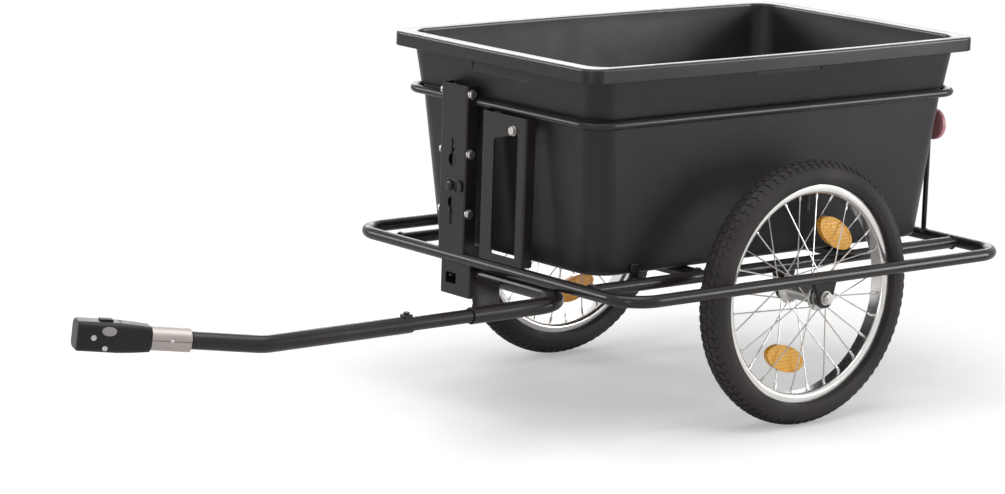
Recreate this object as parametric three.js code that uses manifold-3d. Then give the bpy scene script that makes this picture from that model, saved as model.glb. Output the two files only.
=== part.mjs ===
// Two-wheeled bike shopping trailer: a lift-out tub in a steel tube frame, with a tow bar on the left.
// Millimetres. +X points forward to the bike, +Y to the trailer's left, +Z up, and the ground is z = 0.

import * as THREE from "three";
import { mergeVertices } from "three/addons/utils/BufferGeometryUtils.js";
import Module from "manifold-3d";

const wasm = await Module();
wasm.setup();

// Shared clearances and counts
const seatGap = 0.3; // between a piece and what it rests on, fits in or is welded to
const overrun = 2; // how far a cutter runs past the face that it cuts
const weldDistance = 0.0001; // vertices nearer than this are one vertex
const tubeSides = 12;
const roundSides = 16;
const smallSides = 6;
const hexSides = 6;
const spokeSides = 4;
const wheelSides = 40;
const bendSteps = 4;

// Driving dimensions: wheels
const tyreWidth = 47;
const tyreHeight = 34; // from the rim's edge out to the tread
const tyreWall = 3.2;
const trackWidth = 550;
const rimRadius = 161;
const rimDepth = 14;
const rimWidth = 28;
const rimWall = 2.6;
const beadDepth = 8; // from the rim's edge down to the tyre's foot
const hubLength = 68;
const hubBarrelRadius = 15;
const hubFlangeRadius = 21;
const hubFlangeThickness = 4;
const hubBoreRadius = 7;
const bearingRadius = 11;
const bearingWidth = 8;
const axleRadius = 4.8;
const axleConeRadius = 8;
const spokeRadius = 1.1;
const spokesPerSide = 14;
const spokeLead = 2; // how many spoke pitches a spoke runs ahead of its hole in the hub
const nippleRadius = 2;
const nippleLength = 12;
const nippleGap = 1.1; // from a nipple's end to the rim
const valveRadius = 3;
const valveReach = 26;
const reflectorLength = 76;
const reflectorHeight = 38;
const reflectorThickness = 9.4;
const reflectorInset = 47; // from the rim's inner face to the reflector's middle
const upperReflectorTurn = 124; // degrees from straight ahead
const lowerReflectorTurn = -70;
const rightWheelTurn = -38; // of the right wheel's reflectors, from where the left wheel's stand
const axleNutRadius = 8.6;
const axleNutLength = 8;

// Driving dimensions: tube frame
const frameTubeRadius = 9;
const guardLength = 740;
const guardBend = 48;
const guardRise = 30; // of the frame tubes' centres above the axle
const crossTubeSpacing = 300;
const bracketThickness = 4;
const bracketWidth = 43;
const bracketFootRadius = 15;
const outerPlateGap = 7.5; // from the hub to the outer drop-out plate
const innerPlateGap = 7.7; // from the hub to the inner drop-out plate
const hoopTubeRadius = 6;
const hoopSetback = 10; // of the hoop's end runs from the crossbars' centres
const hoopInset = 3; // of the hoop's side runs from the rails' centres
const hoopBend = 34;
const hoopRise = 231; // of the hoop above the frame tubes
const rearPostRadius = 4;
const rearPostInset = 58; // from the hoop's side runs
const rearReflectorRadius = 24;
const rearReflectorThickness = 9;
const rearReflectorRim = 3;
const rearReflectorDrop = 58; // below the hoop
const guideHeight = 16; // of the tabs that hold the tub's foot, above its underside
const guideWidth = 16;
const guideThickness = 4;
const guideSpacing = 520;

// Driving dimensions: tub
const tubLedgeLength = 22.5; // from the band out to the lip, at the tub's ends
const tubLedgeWidth = 11; // from the band out to the lip, at the long sides
const tubHeight = 306;
const tubWall = 3.5;
const tubTaperLength = 17.5; // from the hoop's height down to the foot, at the tub's ends
const tubTaperWidth = 15; // the same at the long sides
const tubFootRadius = 8;
const tubFootCorner = 46;
const tubBandCorner = 34;
const tubLipCorner = 24;
const tubHoopPlayLength = 5.5; // between the hoop and the tub's ends
const tubHoopPlayWidth = 2; // between the hoop and the tub's long sides
const tubStep = 2;
const tubFlare = 8; // how far the band above the hoop leans out
const tubLipHeight = 21;
const tubLipCrown = 3;
const tubBowLength = 2;
const tubBowWidth = 8;
const gripLength = 126;
const gripHeight = 17;
const gripDepth = 1.6;
const gripDrop = 24; // from the lip's top to the grip's upper edge

// Driving dimensions: front mast and front post
const sheet = 2.5;
const mastWidth = 60;
const mastDepth = 21;
const mastCentre = -79; // across the trailer
const mastLead = 6; // of the mast's face ahead of the crossbar's centre
const mastRise = 254; // of the top above the frame tubes
const mastLap = 3; // of the foot below the crossbar's centre
const upperKeyRadius = 10;
const upperKeyRise = 143;
const upperKeySlot = 31;
const lowerKeyRadius = 9;
const lowerKeyRise = 80;
const lowerKeySlot = 32;
const keySlotWidth = 7.5;
const mastBoltRise = 66.5;
const mastBoltPitch = 87.7;
const mastBoltInset = 7.5; // behind the mast's face
const boltRadius = 4;
const boltHeadRadius = 7.2;
const boltHeadHeight = 5.3;
const latchLength = 34;
const latchWidth = 18;
const latchThickness = 3;
const latchRise = 106;
const latchStudRadius = 3;
const latchKnobRadius = 7;
const latchKnobHeight = 5;
const postWidth = 99;
const postDepth = 18;
const postCentre = 34;
const postLead = 4;
const postRightStrip = 27;
const postLeftStrip = 18;
const postWindowSill = 11;
const postWindowHeadRight = 37;
const postWindowHeadLeft = 24;
const postBoltInset = 28;
const postBoltDrop = 20;

// Driving dimensions: tow bar
const towTubeRadius = 12;
const towTubeWall = 2;
const towSlideRadius = 9.6;
const towSetback = 14; // of the cross run behind the crossbar's centre
const towDrop = 21.5; // of the tow bar below the crossbar's centre
const towBarOffset = 183; // of the forward run to the left of the middle
const towBarBend = 68;
const towRearLength = 189; // from the cross run's centre to the rear tube's end
const towSlideShown = 105; // of the slide tube, between the rear and the front tube
const towLap = 110;
const towFrontLength = 242; // from the front tube's rear end to the knee
const towKneeBend = 60;
const towNeckForward = 92;
const towInwardTurn = 21; // degrees
const towUpwardTurn = 5.4; // degrees
const spliceScrewRadius = 2.5;
const spliceBossLength = 13;
const spliceBossRise = 3;
const spliceHeadRadius = 4.5;
const spliceHeadHeight = 3;
const braceThickness = 4;
const braceRootStart = -22;
const braceRootEnd = 29;
const braceTipStart = 131; // ahead of the cross run's centre
const braceTipEnd = 179;
const towBoxWidth = 68;
const towBoxCentre = -66;
const towBoxDepth = 40;
const towBoxHeight = 47;
const hookHoleWidth = 24;
const hookHoleHeight = 16;
const hookHoleInset = 12; // from the box's right side
const hookHoleDrop = 14;
const knobRadius = 12;
const knobLength = 13;
const knobStudRadius = 4;
const knobFlutes = 6;
const knobFluteRadius = 3;
const knobNutRadius = 7.5;
const knobNutLength = 6;

// Driving dimensions: coupling
const collarFlange = 2;
const collarPlug = 14; // into the tow bar's end
const collarSpigot = 12; // into the sleeve
const sleeveRadius = 16;
const sleeveLength = 54;
const sleevePinRadius = 2.5;
const sleevePinProud = 1;
const stemRadius = 9;
const stemLength = 30;
const stemHeadRadius = 10.5;
const stemHeadLength = 5;
const headLength = 100;
const headHeight = 40;
const headRearHeight = 34;
const headWidth = 38;
const headRearWidth = 32;
const headEdge = 6;
const headFlareLength = 42;
const socketPlace = 78; // ahead of the head's rear face
const socketRadius = 9;
const socketWall = 2;
const socketDepth = 25;
const headPinRadius = 4;
const headPinProud = 1;
const buttonPlace = 60;
const buttonLength = 18;
const buttonWidth = 13;
const buttonHeight = 9;
const buttonProud = 3;
const buttonTravel = 3;

// Heights and places that follow from the driving dimensions
const wheelRadius = rimRadius + tyreHeight;
const axleHeight = wheelRadius;
const frameHeight = axleHeight + guardRise;
const hoopHeight = frameHeight + hoopRise;
const crossbarPlace = guardLength / 2;
const hoopEnd = crossbarPlace - hoopSetback;
const wheelPlace = trackWidth / 2;
const outerPlate = hubLength / 2 + outerPlateGap + bracketThickness / 2;
const innerPlate = hubLength / 2 + innerPlateGap + bracketThickness / 2;
const guardPlace = wheelPlace + outerPlate;
const railPlace = wheelPlace - innerPlate - bracketThickness / 2 - seatGap - frameTubeRadius;
const hoopSide = railPlace - hoopInset;
const rearPostPlace = hoopSide - rearPostInset;
const underFrame = frameHeight - frameTubeRadius - seatGap;
const overFrame = frameHeight + frameTubeRadius + seatGap;
const underHoop = hoopHeight - hoopTubeRadius - seatGap;
const tubTop = overFrame + tubHeight;

// Colours and finishes
function finish(color, roughness, metalness) {
  return new THREE.MeshStandardMaterial({ color, roughness, metalness });
}
const blackPaint = finish(0x17171a, 0.32, 0.1);
const tubPlastic = finish(0x35353a, 0.6, 0);
const blackPlastic = finish(0x1b1b1e, 0.45, 0);
const zincSteel = finish(0xc9ccd0, 0.3, 1);
const rimAlloy = finish(0xd6d8da, 0.28, 1);
const tyreRubber = finish(0x232325, 0.85, 0);
const amberPlastic = finish(0xf08a1a, 0.25, 0);
const redPlastic = finish(0xb01822, 0.25, 0);

// A geometry becomes a solid that can be joined and cut
function asSolid(shape) {
  if (!shape.isBufferGeometry) return shape;
  const loose = shape.clone();
  loose.deleteAttribute("normal");
  loose.deleteAttribute("uv");
  const merged = mergeVertices(loose, weldDistance);
  const mesh = new wasm.Mesh({
    numProp: 3,
    vertProperties: merged.attributes.position.array,
    triVerts: new Uint32Array(merged.index.array),
  });
  return new wasm.Manifold(mesh);
}

function asGeometry(solid) {
  const { vertProperties, triVerts } = solid.getMesh();
  const geometry = new THREE.BufferGeometry();
  geometry.setAttribute("position", new THREE.BufferAttribute(vertProperties, 3));
  geometry.setIndex(new THREE.BufferAttribute(triVerts, 1));
  geometry.computeVertexNormals();
  return geometry;
}

function join(...shapes) {
  return shapes.map(asSolid).reduce((whole, next) => whole.add(next));
}

function cut(body, ...cutters) {
  return cutters.map(asSolid).reduce((rest, cutter) => rest.subtract(cutter), asSolid(body));
}

function addPiece(parent, name, shape, material) {
  const geometry = asGeometry(asSolid(shape));
  const mesh = new THREE.Mesh(geometry, material);
  mesh.name = name;
  parent.add(mesh);
  return mesh;
}

// A path through points, on which each point is one equal step
class PointPath extends THREE.Curve {
  constructor(points) {
    super();
    this.points = points;
  }

  getPoint(t) {
    const last = this.points.length - 1;
    const place = t * last;
    const from = Math.min(Math.floor(place), last - 1);
    return this.points[from].clone().lerp(this.points[from + 1], place - from);
  }

  getUtoTmapping(u) {
    return u;
  }
}

// Straight runs between corner points, with an arc of the bend radius at each inner corner
function bentPath(corners, bend) {
  const path = [corners[0]];
  for (let i = 1; i < corners.length - 1; i += 1) {
    const arrive = corners[i].clone().sub(corners[i - 1]).normalize();
    const leave = corners[i + 1].clone().sub(corners[i]).normalize();
    const turn = arrive.angleTo(leave);
    const inward = leave.clone().sub(arrive).normalize();
    const centre = corners[i].clone().addScaledVector(inward, bend / Math.cos(turn / 2));
    const spoke = corners[i].clone().addScaledVector(arrive, -bend * Math.tan(turn / 2)).sub(centre);
    const axis = arrive.clone().cross(leave).normalize();
    for (let k = 0; k <= bendSteps; k += 1) {
      path.push(spoke.clone().applyAxisAngle(axis, (turn * k) / bendSteps).add(centre));
    }
  }
  path.push(corners[corners.length - 1]);
  return path;
}

// A round tube or bar along a path. Where the path closes on itself, its two ends become one
function tube(path, radius, sides = tubeSides) {
  const section = new THREE.Shape().absarc(0, 0, radius, 0, 2 * Math.PI);
  return new THREE.ExtrudeGeometry(section, {
    steps: path.length - 1,
    curveSegments: sides / 2,
    extrudePath: new PointPath(path),
  });
}

// A level loop with round corners, from the middle of its front run and back to it
function loopTube(x, y, bend, height, radius) {
  const corners = [[x, 0], [x, y], [-x, y], [-x, -y], [x, -y], [x, 0]];
  const path = bentPath(corners.map(([a, b]) => new THREE.Vector3(a, b, height)), bend);
  return tube(path, radius);
}

function bar(from, to, radius, sides = roundSides) {
  const geometry = new THREE.CylinderGeometry(radius, radius, from.distanceTo(to), sides);
  const direction = to.clone().sub(from).normalize();
  geometry.applyQuaternion(new THREE.Quaternion().setFromUnitVectors(THREE.Object3D.DEFAULT_UP, direction));
  const middle = from.clone().lerp(to, 1 / 2);
  return geometry.translate(middle.x, middle.y, middle.z);
}

function acrossBar(x, z, fromY, toY, radius, sides = roundSides) {
  return bar(new THREE.Vector3(x, fromY, z), new THREE.Vector3(x, toY, z), radius, sides);
}

function forwardBar(y, z, fromX, toX, radius, sides = roundSides) {
  return bar(new THREE.Vector3(fromX, y, z), new THREE.Vector3(toX, y, z), radius, sides);
}

function uprightBar(x, y, fromZ, toZ, radius, sides = roundSides) {
  return bar(new THREE.Vector3(x, y, fromZ), new THREE.Vector3(x, y, toZ), radius, sides);
}

function block(fromX, toX, fromY, toY, fromZ, toZ) {
  const geometry = new THREE.BoxGeometry(toX - fromX, toY - fromY, toZ - fromZ);
  return geometry.translate((fromX + toX) / 2, (fromY + toY) / 2, (fromZ + toZ) / 2);
}

// A solid turned about the Y axis. Its profile of [radius, place along Y] meets the axis or goes round
function turned(profile, sides = roundSides) {
  const points = profile.map(([radius, place]) => new THREE.Vector2(radius, place));
  if (THREE.ShapeUtils.isClockWise(points)) points.reverse();
  if (points[0].x > 0) points.push(points[0].clone());
  return new THREE.LatheGeometry(points, sides);
}

function arcPoints(centreX, centreY, radius, fromTurn, toTurn, steps) {
  return Array.from({ length: steps + 1 }, (_, k) => {
    const turn = fromTurn + ((toTurn - fromTurn) * k) / steps;
    return [centreX + radius * Math.cos(turn), centreY + radius * Math.sin(turn)];
  });
}

// A plate whose outline lies in X and Z and whose thickness lies along Y
function uprightPlate(outline, fromY, toY, hole) {
  const shape = new THREE.Shape(outline.map(([x, z]) => new THREE.Vector2(x, z)));
  if (hole) shape.holes.push(new THREE.Path().absarc(hole.x, hole.z, hole.radius, 0, 2 * Math.PI, true));
  const options = { depth: toY - fromY, bevelEnabled: false, curveSegments: roundSides / 2 };
  return new THREE.ExtrudeGeometry(shape, options).rotateX(Math.PI / 2).translate(0, toY, 0);
}

// A skin over rings of points, closed at its two ends by caps
function loft(rings) {
  const sides = rings[0].length;
  const last = rings.length - 1;
  const points = rings.flat();
  const faces = [];
  for (let k = 0; k < last; k += 1) {
    for (let j = 0; j < sides; j += 1) {
      const [a, b] = [k * sides + j, k * sides + ((j + 1) % sides)];
      faces.push(a, b, b + sides, a, b + sides, a + sides);
    }
  }
  [rings[0], rings[last]].forEach((ring, isEnd) => {
    const middle = ring.reduce((sum, point) => sum.add(point), new THREE.Vector3());
    points.push(middle.divideScalar(sides));
    for (let j = 0; j < sides; j += 1) {
      const edge = [isEnd * last * sides + j, isEnd * last * sides + ((j + 1) % sides)];
      faces.push(points.length - 1, edge[1 - isEnd], edge[isEnd]);
    }
  });
  const geometry = new THREE.BufferGeometry().setFromPoints(points);
  return geometry.setIndex(faces);
}

// A level ring of points round a rectangle with round corners, whose sides may bow outwards
function rectangleRing(halfLength, halfWidth, corner, height, bowLength = 0, bowWidth = 0) {
  const sidePoints = 3;
  const signs = [[1, 1], [-1, 1], [-1, -1], [1, -1]];
  return signs.flatMap(([signX, signY], quarter) => {
    const turn = (Math.PI / 2) * quarter;
    const [x, y] = [signX * (halfLength - corner), signY * (halfWidth - corner)];
    const ring = arcPoints(x, y, corner, turn, turn + Math.PI / 2, bendSteps);
    for (let k = 1; k <= sidePoints; k += 1) {
      const place = 1 - (2 * k) / (sidePoints + 1);
      const bulge = 1 - place * place;
      const alongX = quarter % 2 === 0;
      ring.push(alongX
        ? [x * place, signY * (halfWidth + bowWidth * bulge)]
        : [signX * (halfLength + bowLength * bulge), y * place]);
    }
    return ring.map(([a, b]) => new THREE.Vector3(a, b, height));
  });
}

// The tub is one moulded shell: its outside rises to a turned-down lip, and its inside goes back down
const tubLowX = hoopEnd - hoopTubeRadius - tubHoopPlayLength;
const tubLowY = hoopSide - hoopTubeRadius - tubHoopPlayWidth;
const [tubFootX, tubFootY] = [tubLowX - tubTaperLength, tubLowY - tubTaperWidth];
const tubBandX = tubLowX + tubStep + tubFlare;
const tubBandY = tubLowY + tubStep + tubFlare;

function tubHalfWidth(height) {
  const share = (height - overFrame - tubFootRadius) / (hoopHeight - overFrame - tubFootRadius);
  return THREE.MathUtils.lerp(tubFootY, tubLowY, share);
}

function tubShell() {
  const [lipX, lipY] = [tubBandX + tubLedgeLength, tubBandY + tubLedgeWidth];
  const stepTop = hoopHeight + hoopTubeRadius;
  const ledge = tubTop - tubLipCrown - tubWall;
  const skirt = tubTop - tubLipHeight;
  const curve = tubFootRadius / 3;
  const ring = (x, y, corner, z, inset = 0, bow = 0) =>
    rectangleRing(x - inset, y - inset, corner - inset, z, bow * tubBowLength, bow * tubBowWidth);
  const foot = (z, inset) => ring(tubFootX, tubFootY, tubFootCorner, z, inset);
  const low = (z, inset) => ring(tubLowX, tubLowY, tubBandCorner, z, inset);
  const step = (z, inset) => ring(tubLowX + tubStep, tubLowY + tubStep, tubBandCorner, z, inset);
  const band = (z, inset) => ring(tubBandX, tubBandY, tubBandCorner, z, inset, 1);
  const lip = (z, inset) => ring(lipX, lipY, tubLipCorner, z, inset, 1);
  return loft([
    foot(overFrame, tubFootRadius),
    foot(overFrame + curve, curve),
    foot(overFrame + tubFootRadius),
    low(hoopHeight),
    step(stepTop),
    band(skirt),
    band(ledge),
    lip(ledge, tubWall),
    lip(skirt, tubWall),
    lip(skirt),
    lip(tubTop - tubLipCrown),
    lip(tubTop, tubLipCrown),
    band(tubTop, tubWall - tubLipCrown),
    band(tubTop - tubLipCrown, tubWall),
    step(stepTop, tubWall),
    low(hoopHeight, tubWall),
    foot(overFrame + tubFootRadius, tubWall),
    foot(overFrame + tubWall, tubFootRadius),
  ]);
}

// A shallow grip is moulded into each side of the band, just under the lip
function tub() {
  const top = tubTop - gripDrop;
  const reach = gripLength / 2;
  const across = tubBandY + tubBowWidth + overrun;
  const along = tubBandX + tubBowLength + overrun;
  const [floorX, floorY] = [tubBandX - gripDepth, tubBandY + tubBowWidth - gripDepth * 2];
  const cutters = [
    block(-reach, reach, floorY, across, top - gripHeight, top),
    block(-reach, reach, -across, -floorY, top - gripHeight, top),
    block(floorX, along, -reach, reach, top - gripHeight, top),
    block(-along, -floorX, -reach, reach, top - gripHeight, top),
  ];
  return cut(tubShell(), ...cutters);
}

// A rail runs inside each wheel from crossbar to crossbar, with two tabs that hold the tub's foot
function innerRail(side) {
  const reach = crossbarPlace - frameTubeRadius - seatGap;
  const rail = forwardBar(side * railPlace, frameHeight, -reach, reach, frameTubeRadius, tubeSides);
  const top = overFrame + guideHeight;
  const inner = tubHalfWidth(top) + seatGap;
  const tabs = [-1, 1].flatMap((end) => {
    const middle = (end * guideSpacing) / 2;
    const [rear, front] = [middle - guideWidth / 2, middle + guideWidth / 2];
    const [near, far] = [side * inner, side * (inner + guideThickness)].sort((a, b) => a - b);
    const [low, high] = [side * inner, side * railPlace].sort((a, b) => a - b);
    return [
      block(rear, front, near, far, frameHeight, top),
      block(rear, front, low, high, frameHeight, frameHeight + guideThickness),
    ];
  });
  return join(rail, ...tabs);
}

function crossTube(end) {
  const reach = railPlace - frameTubeRadius - seatGap;
  return acrossBar((end * crossTubeSpacing) / 2, frameHeight, -reach, reach, frameTubeRadius, tubeSides);
}

// A drop-out plate hangs from a frame tube and carries one end of an axle
function axleBracket(middle) {
  const foot = arcPoints(0, axleHeight, bracketFootRadius, Math.PI, 2 * Math.PI, bendSteps);
  const outline = [...foot, [bracketWidth / 2, underFrame], [-bracketWidth / 2, underFrame]];
  const hole = { x: 0, z: axleHeight, radius: axleRadius + seatGap };
  return uprightPlate(outline, middle - bracketThickness / 2, middle + bracketThickness / 2, hole);
}

function rearPost(side) {
  return uprightBar(-hoopEnd, side * rearPostPlace, overFrame, underHoop, rearPostRadius, tubeSides);
}

function rearReflector(side) {
  const lens = turned([
    [0, 0], [rearReflectorRadius, 0], [rearReflectorRadius, rearReflectorThickness - rearReflectorRim],
    [rearReflectorRadius - rearReflectorRim, rearReflectorThickness], [0, rearReflectorThickness],
  ]);
  const x = -hoopEnd - rearPostRadius - seatGap;
  lens.rotateZ(Math.PI / 2);
  return lens.translate(x, side * rearPostPlace, hoopHeight - rearReflectorDrop);
}

// A channel is bent from sheet, stands upright and opens to the rear
function channel(front, depth, right, left, foot, head) {
  const outer = block(front - depth, front, right, left, foot, head);
  const inner = block(
    front - depth - overrun, front - sheet, right + sheet, left - sheet, foot - overrun, head + overrun);
  return cut(outer, inner);
}

// The mast stands on the crossbar and is notched for the hoop, with two keyholes for hooks in its face
const mastFront = crossbarPlace + mastLead;
const mastLeft = mastCentre + mastWidth / 2;
const mastRight = mastCentre - mastWidth / 2;
const mastBoltPlace = mastFront - mastBoltInset;

function mastHole(rise, radius) {
  const [back, front] = [mastFront - sheet - overrun, mastFront + overrun];
  return forwardBar(mastCentre, frameHeight + rise, back, front, radius);
}

function mastSlot(fromRise, toRise) {
  const [back, front] = [mastFront - sheet - overrun, mastFront + overrun];
  const [right, left] = [mastCentre - keySlotWidth / 2, mastCentre + keySlotWidth / 2];
  return block(back, front, right, left, frameHeight + fromRise, frameHeight + toRise);
}

function mastBoltHeight(index) {
  return frameHeight + mastBoltRise + index * mastBoltPitch;
}

function mast() {
  const body = channel(
    mastFront, mastDepth, mastRight, mastLeft, frameHeight - mastLap, frameHeight + mastRise);
  const [right, left] = [mastRight - overrun, mastLeft + overrun];
  const hoopNotch = hoopTubeRadius + seatGap;
  const boltHoles = [0, 1, 2].map((index) =>
    acrossBar(mastBoltPlace, mastBoltHeight(index), right, left, boltRadius + seatGap, smallSides));
  return cut(
    body,
    crossbarNotch(right, left),
    acrossBar(hoopEnd, hoopHeight, right, left, hoopNotch),
    block(hoopEnd - mastDepth, hoopEnd, right, left, hoopHeight - hoopNotch, hoopHeight + hoopNotch),
    mastHole(upperKeyRise, upperKeyRadius),
    mastSlot(upperKeyRise, upperKeyRise + upperKeySlot),
    mastHole(lowerKeyRise, lowerKeyRadius),
    mastSlot(lowerKeyRise - lowerKeySlot, lowerKeyRise),
    mastHole(latchRise, latchStudRadius + seatGap),
    ...boltHoles,
  );
}

// A bolt goes across the mast, with its head on the left and its nut on the right
function mastBolt(index) {
  const z = mastBoltHeight(index);
  const [headFace, nutFace] = [mastLeft + seatGap, mastRight - seatGap];
  const [headEnd, nutEnd] = [headFace + boltHeadHeight, nutFace - boltHeadHeight];
  return join(
    acrossBar(mastBoltPlace, z, nutEnd, headFace + overrun, boltRadius, smallSides),
    acrossBar(mastBoltPlace, z, headFace, headEnd, boltHeadRadius, hexSides),
    acrossBar(mastBoltPlace, z, nutEnd, nutFace, boltHeadRadius, hexSides),
  );
}

// The latch turns on a rivet in the mast's face, just above the lower keyhole
function mastLatch() {
  const z = frameHeight + latchRise;
  const [face, back] = [mastFront + seatGap, mastFront - sheet - seatGap];
  const plateFace = face + latchThickness;
  const plate = block(
    face, plateFace, mastCentre - latchWidth / 2, mastCentre - latchWidth / 2 + latchLength,
    z - latchWidth / 2, z + latchWidth / 2);
  return join(
    plate,
    forwardBar(mastCentre, z, face, plateFace + latchKnobHeight, latchKnobRadius, tubeSides),
    forwardBar(mastCentre, z, back - latchThickness, plateFace, latchStudRadius, smallSides),
    forwardBar(mastCentre, z, back - latchThickness, back, latchStudRadius * 2, smallSides),
  );
}

// The front post is a wide channel with a tall window, between the crossbar and the hoop
const postFront = crossbarPlace + postLead;
const postRight = postCentre - postWidth / 2;
const postLeft = postCentre + postWidth / 2;
const postBoltAcross = postLeft - postBoltInset;
const postBoltHeight = underHoop - postBoltDrop;

function frontPost() {
  const body = channel(postFront, postDepth, postRight, postLeft, overFrame, underHoop);
  const [right, left] = [postRight + postRightStrip, postLeft - postLeftStrip];
  const sill = overFrame + postWindowSill;
  const outline = new THREE.Shape([
    new THREE.Vector2(right, sill), new THREE.Vector2(left, sill),
    new THREE.Vector2(left, underHoop - postWindowHeadLeft),
    new THREE.Vector2(right, underHoop - postWindowHeadRight),
  ]);
  const window = new THREE.ExtrudeGeometry(outline, { depth: sheet + overrun * 2, bevelEnabled: false });
  window.rotateX(Math.PI / 2).rotateZ(Math.PI / 2).translate(postFront - sheet - overrun, 0, 0);
  const boltHole = forwardBar(
    postBoltAcross, postBoltHeight, postFront - sheet - overrun, postFront + overrun,
    boltRadius + seatGap, smallSides);
  return cut(body, window, boltHole);
}

function postBolt() {
  const [face, back] = [postFront + seatGap, postFront - sheet - seatGap];
  const [headEnd, nutEnd] = [face + boltHeadHeight, back - boltHeadHeight];
  return join(
    forwardBar(postBoltAcross, postBoltHeight, nutEnd, face + overrun, boltRadius, smallSides),
    forwardBar(postBoltAcross, postBoltHeight, face, headEnd, boltHeadRadius, hexSides),
    forwardBar(postBoltAcross, postBoltHeight, nutEnd, back, boltHeadRadius, hexSides),
  );
}

// The tow box hangs under the crossbar. The tow bar's cross run plugs through it from the left
const towX = crossbarPlace - towSetback;
const towZ = frameHeight - towDrop;
const towRearEnd = towX + towRearLength;
const towFrontStart = towRearEnd + towSlideShown;
const towKnee = towFrontStart + towFrontLength;
const boxBack = mastFront - towBoxDepth;
const boxRight = towBoxCentre - towBoxWidth / 2;
const boxLeft = towBoxCentre + towBoxWidth / 2;

function crossbarNotch(right, left) {
  const radius = frameTubeRadius + seatGap;
  return acrossBar(crossbarPlace, frameHeight, right - overrun, left + overrun, radius);
}

function towBore(right, left) {
  return acrossBar(towX, towZ, right - overrun, left + overrun, towTubeRadius + seatGap);
}

function towBox() {
  const head = frameHeight - mastLap - seatGap;
  const foot = underFrame - towBoxHeight;
  const outer = block(boxBack, mastFront, boxRight, boxLeft, foot, head);
  const inner = block(
    boxBack + sheet, mastFront - sheet, boxRight + sheet, boxLeft - sheet, foot - overrun, head + overrun);
  const holeRight = boxRight + hookHoleInset;
  const holeTop = underFrame - hookHoleDrop;
  const hookHole = block(
    mastFront - sheet - overrun, mastFront + overrun, holeRight, holeRight + hookHoleWidth,
    holeTop - hookHoleHeight, holeTop);
  const screwHole = forwardBar(
    towBoxCentre, towZ, boxBack - overrun, boxBack + sheet + overrun, knobStudRadius + seatGap, tubeSides);
  return cut(
    outer, inner, crossbarNotch(boxRight, boxLeft), towBore(boxRight, boxLeft), hookHole, screwHole);
}

// The clamp screw has a fluted knob behind the box and presses on the cross run
function clampScrew() {
  const front = boxBack - seatGap - knobNutLength - seatGap;
  const rear = front - knobLength;
  const flutes = Array.from({ length: knobFlutes }, (_, k) => {
    const turn = (2 * Math.PI * k) / knobFlutes;
    const y = towBoxCentre + knobRadius * Math.cos(turn);
    const z = towZ + knobRadius * Math.sin(turn);
    return forwardBar(y, z, rear - overrun, front + overrun, knobFluteRadius, smallSides);
  });
  const grip = cut(forwardBar(towBoxCentre, towZ, rear, front, knobRadius), ...flutes);
  const tip = towX - towTubeRadius - seatGap;
  return join(grip, forwardBar(towBoxCentre, towZ, front - overrun, tip, knobStudRadius, tubeSides));
}

function clampNut() {
  const face = boxBack - seatGap;
  const back = face - knobNutLength;
  const bore = forwardBar(
    towBoxCentre, towZ, back - overrun, face + overrun, knobStudRadius + seatGap, tubeSides);
  return cut(forwardBar(towBoxCentre, towZ, back, face, knobNutRadius, hexSides), bore);
}

// The tow bar's rear tube runs across under the crossbar, then forward on the left
const towInnerRadius = towTubeRadius - towTubeWall;

function rearTube() {
  const corner = new THREE.Vector3(towX, towBarOffset, towZ);
  const [start, end] = [boxRight - seatGap, towRearEnd];
  const route = (extra) => bentPath([
    corner.clone().setY(start - extra), corner, corner.clone().setX(end + extra),
  ], towBarBend);
  return cut(tube(route(0), towTubeRadius, roundSides), tube(route(overrun), towInnerRadius, roundSides));
}

// A flat brace closes the corner between the cross run and the forward run
function towBrace() {
  const root = towX + towTubeRadius + seatGap;
  const tip = towBarOffset - towTubeRadius - seatGap;
  const shape = new THREE.Shape([
    new THREE.Vector2(root, braceRootStart), new THREE.Vector2(towX + braceTipEnd, tip),
    new THREE.Vector2(towX + braceTipStart, tip), new THREE.Vector2(root, braceRootEnd),
  ]);
  const plate = new THREE.ExtrudeGeometry(shape, { depth: braceThickness, bevelEnabled: false });
  return plate.translate(0, 0, towZ - braceThickness / 2);
}

// The slide tube sits in the rear tube's mouth and reaches into the front tube
function slideTube() {
  const [rear, front] = [towRearEnd - towLap, towFrontStart + towLap];
  const outside = forwardBar(towBarOffset, towZ, rear, front, towSlideRadius);
  const bore = forwardBar(
    towBarOffset, towZ, rear - overrun, front + overrun, towSlideRadius - towTubeWall);
  return cut(outside, bore);
}

// The front tube slides on it, turns inwards and up at the knee, and ends at the coupling
const inward = THREE.MathUtils.degToRad(towInwardTurn);
const upward = THREE.MathUtils.degToRad(towUpwardTurn);
const neckAlong = new THREE.Vector3(
  Math.cos(upward) * Math.cos(inward), -Math.cos(upward) * Math.sin(inward), Math.sin(upward));
const neckAcross = new THREE.Vector3(Math.sin(inward), Math.cos(inward), 0);
const neckUp = neckAlong.clone().cross(neckAcross);
const kneePoint = new THREE.Vector3(towKnee, towBarOffset, towZ);
const neckEnd = kneePoint.clone().addScaledVector(neckAlong, towNeckForward / neckAlong.x);
const spliceX = towFrontStart + spliceBossLength / 2;
const spliceTop = towZ + towTubeRadius + spliceBossRise;

function frontTube() {
  const route = (extra) => bentPath([
    new THREE.Vector3(towFrontStart - extra, towBarOffset, towZ),
    kneePoint,
    neckEnd.clone().addScaledVector(neckAlong, extra),
  ], towKneeBend);
  const half = spliceBossLength / 2;
  const boss = block(
    towFrontStart, towFrontStart + spliceBossLength, towBarOffset - half, towBarOffset + half,
    towZ, spliceTop);
  const screwHole = uprightBar(
    spliceX, towBarOffset, towZ, spliceTop + overrun, spliceScrewRadius + seatGap, smallSides);
  return cut(
    join(tube(route(0), towTubeRadius, roundSides), boss),
    tube(route(overrun), towInnerRadius, roundSides),
    screwHole,
  );
}

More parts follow.
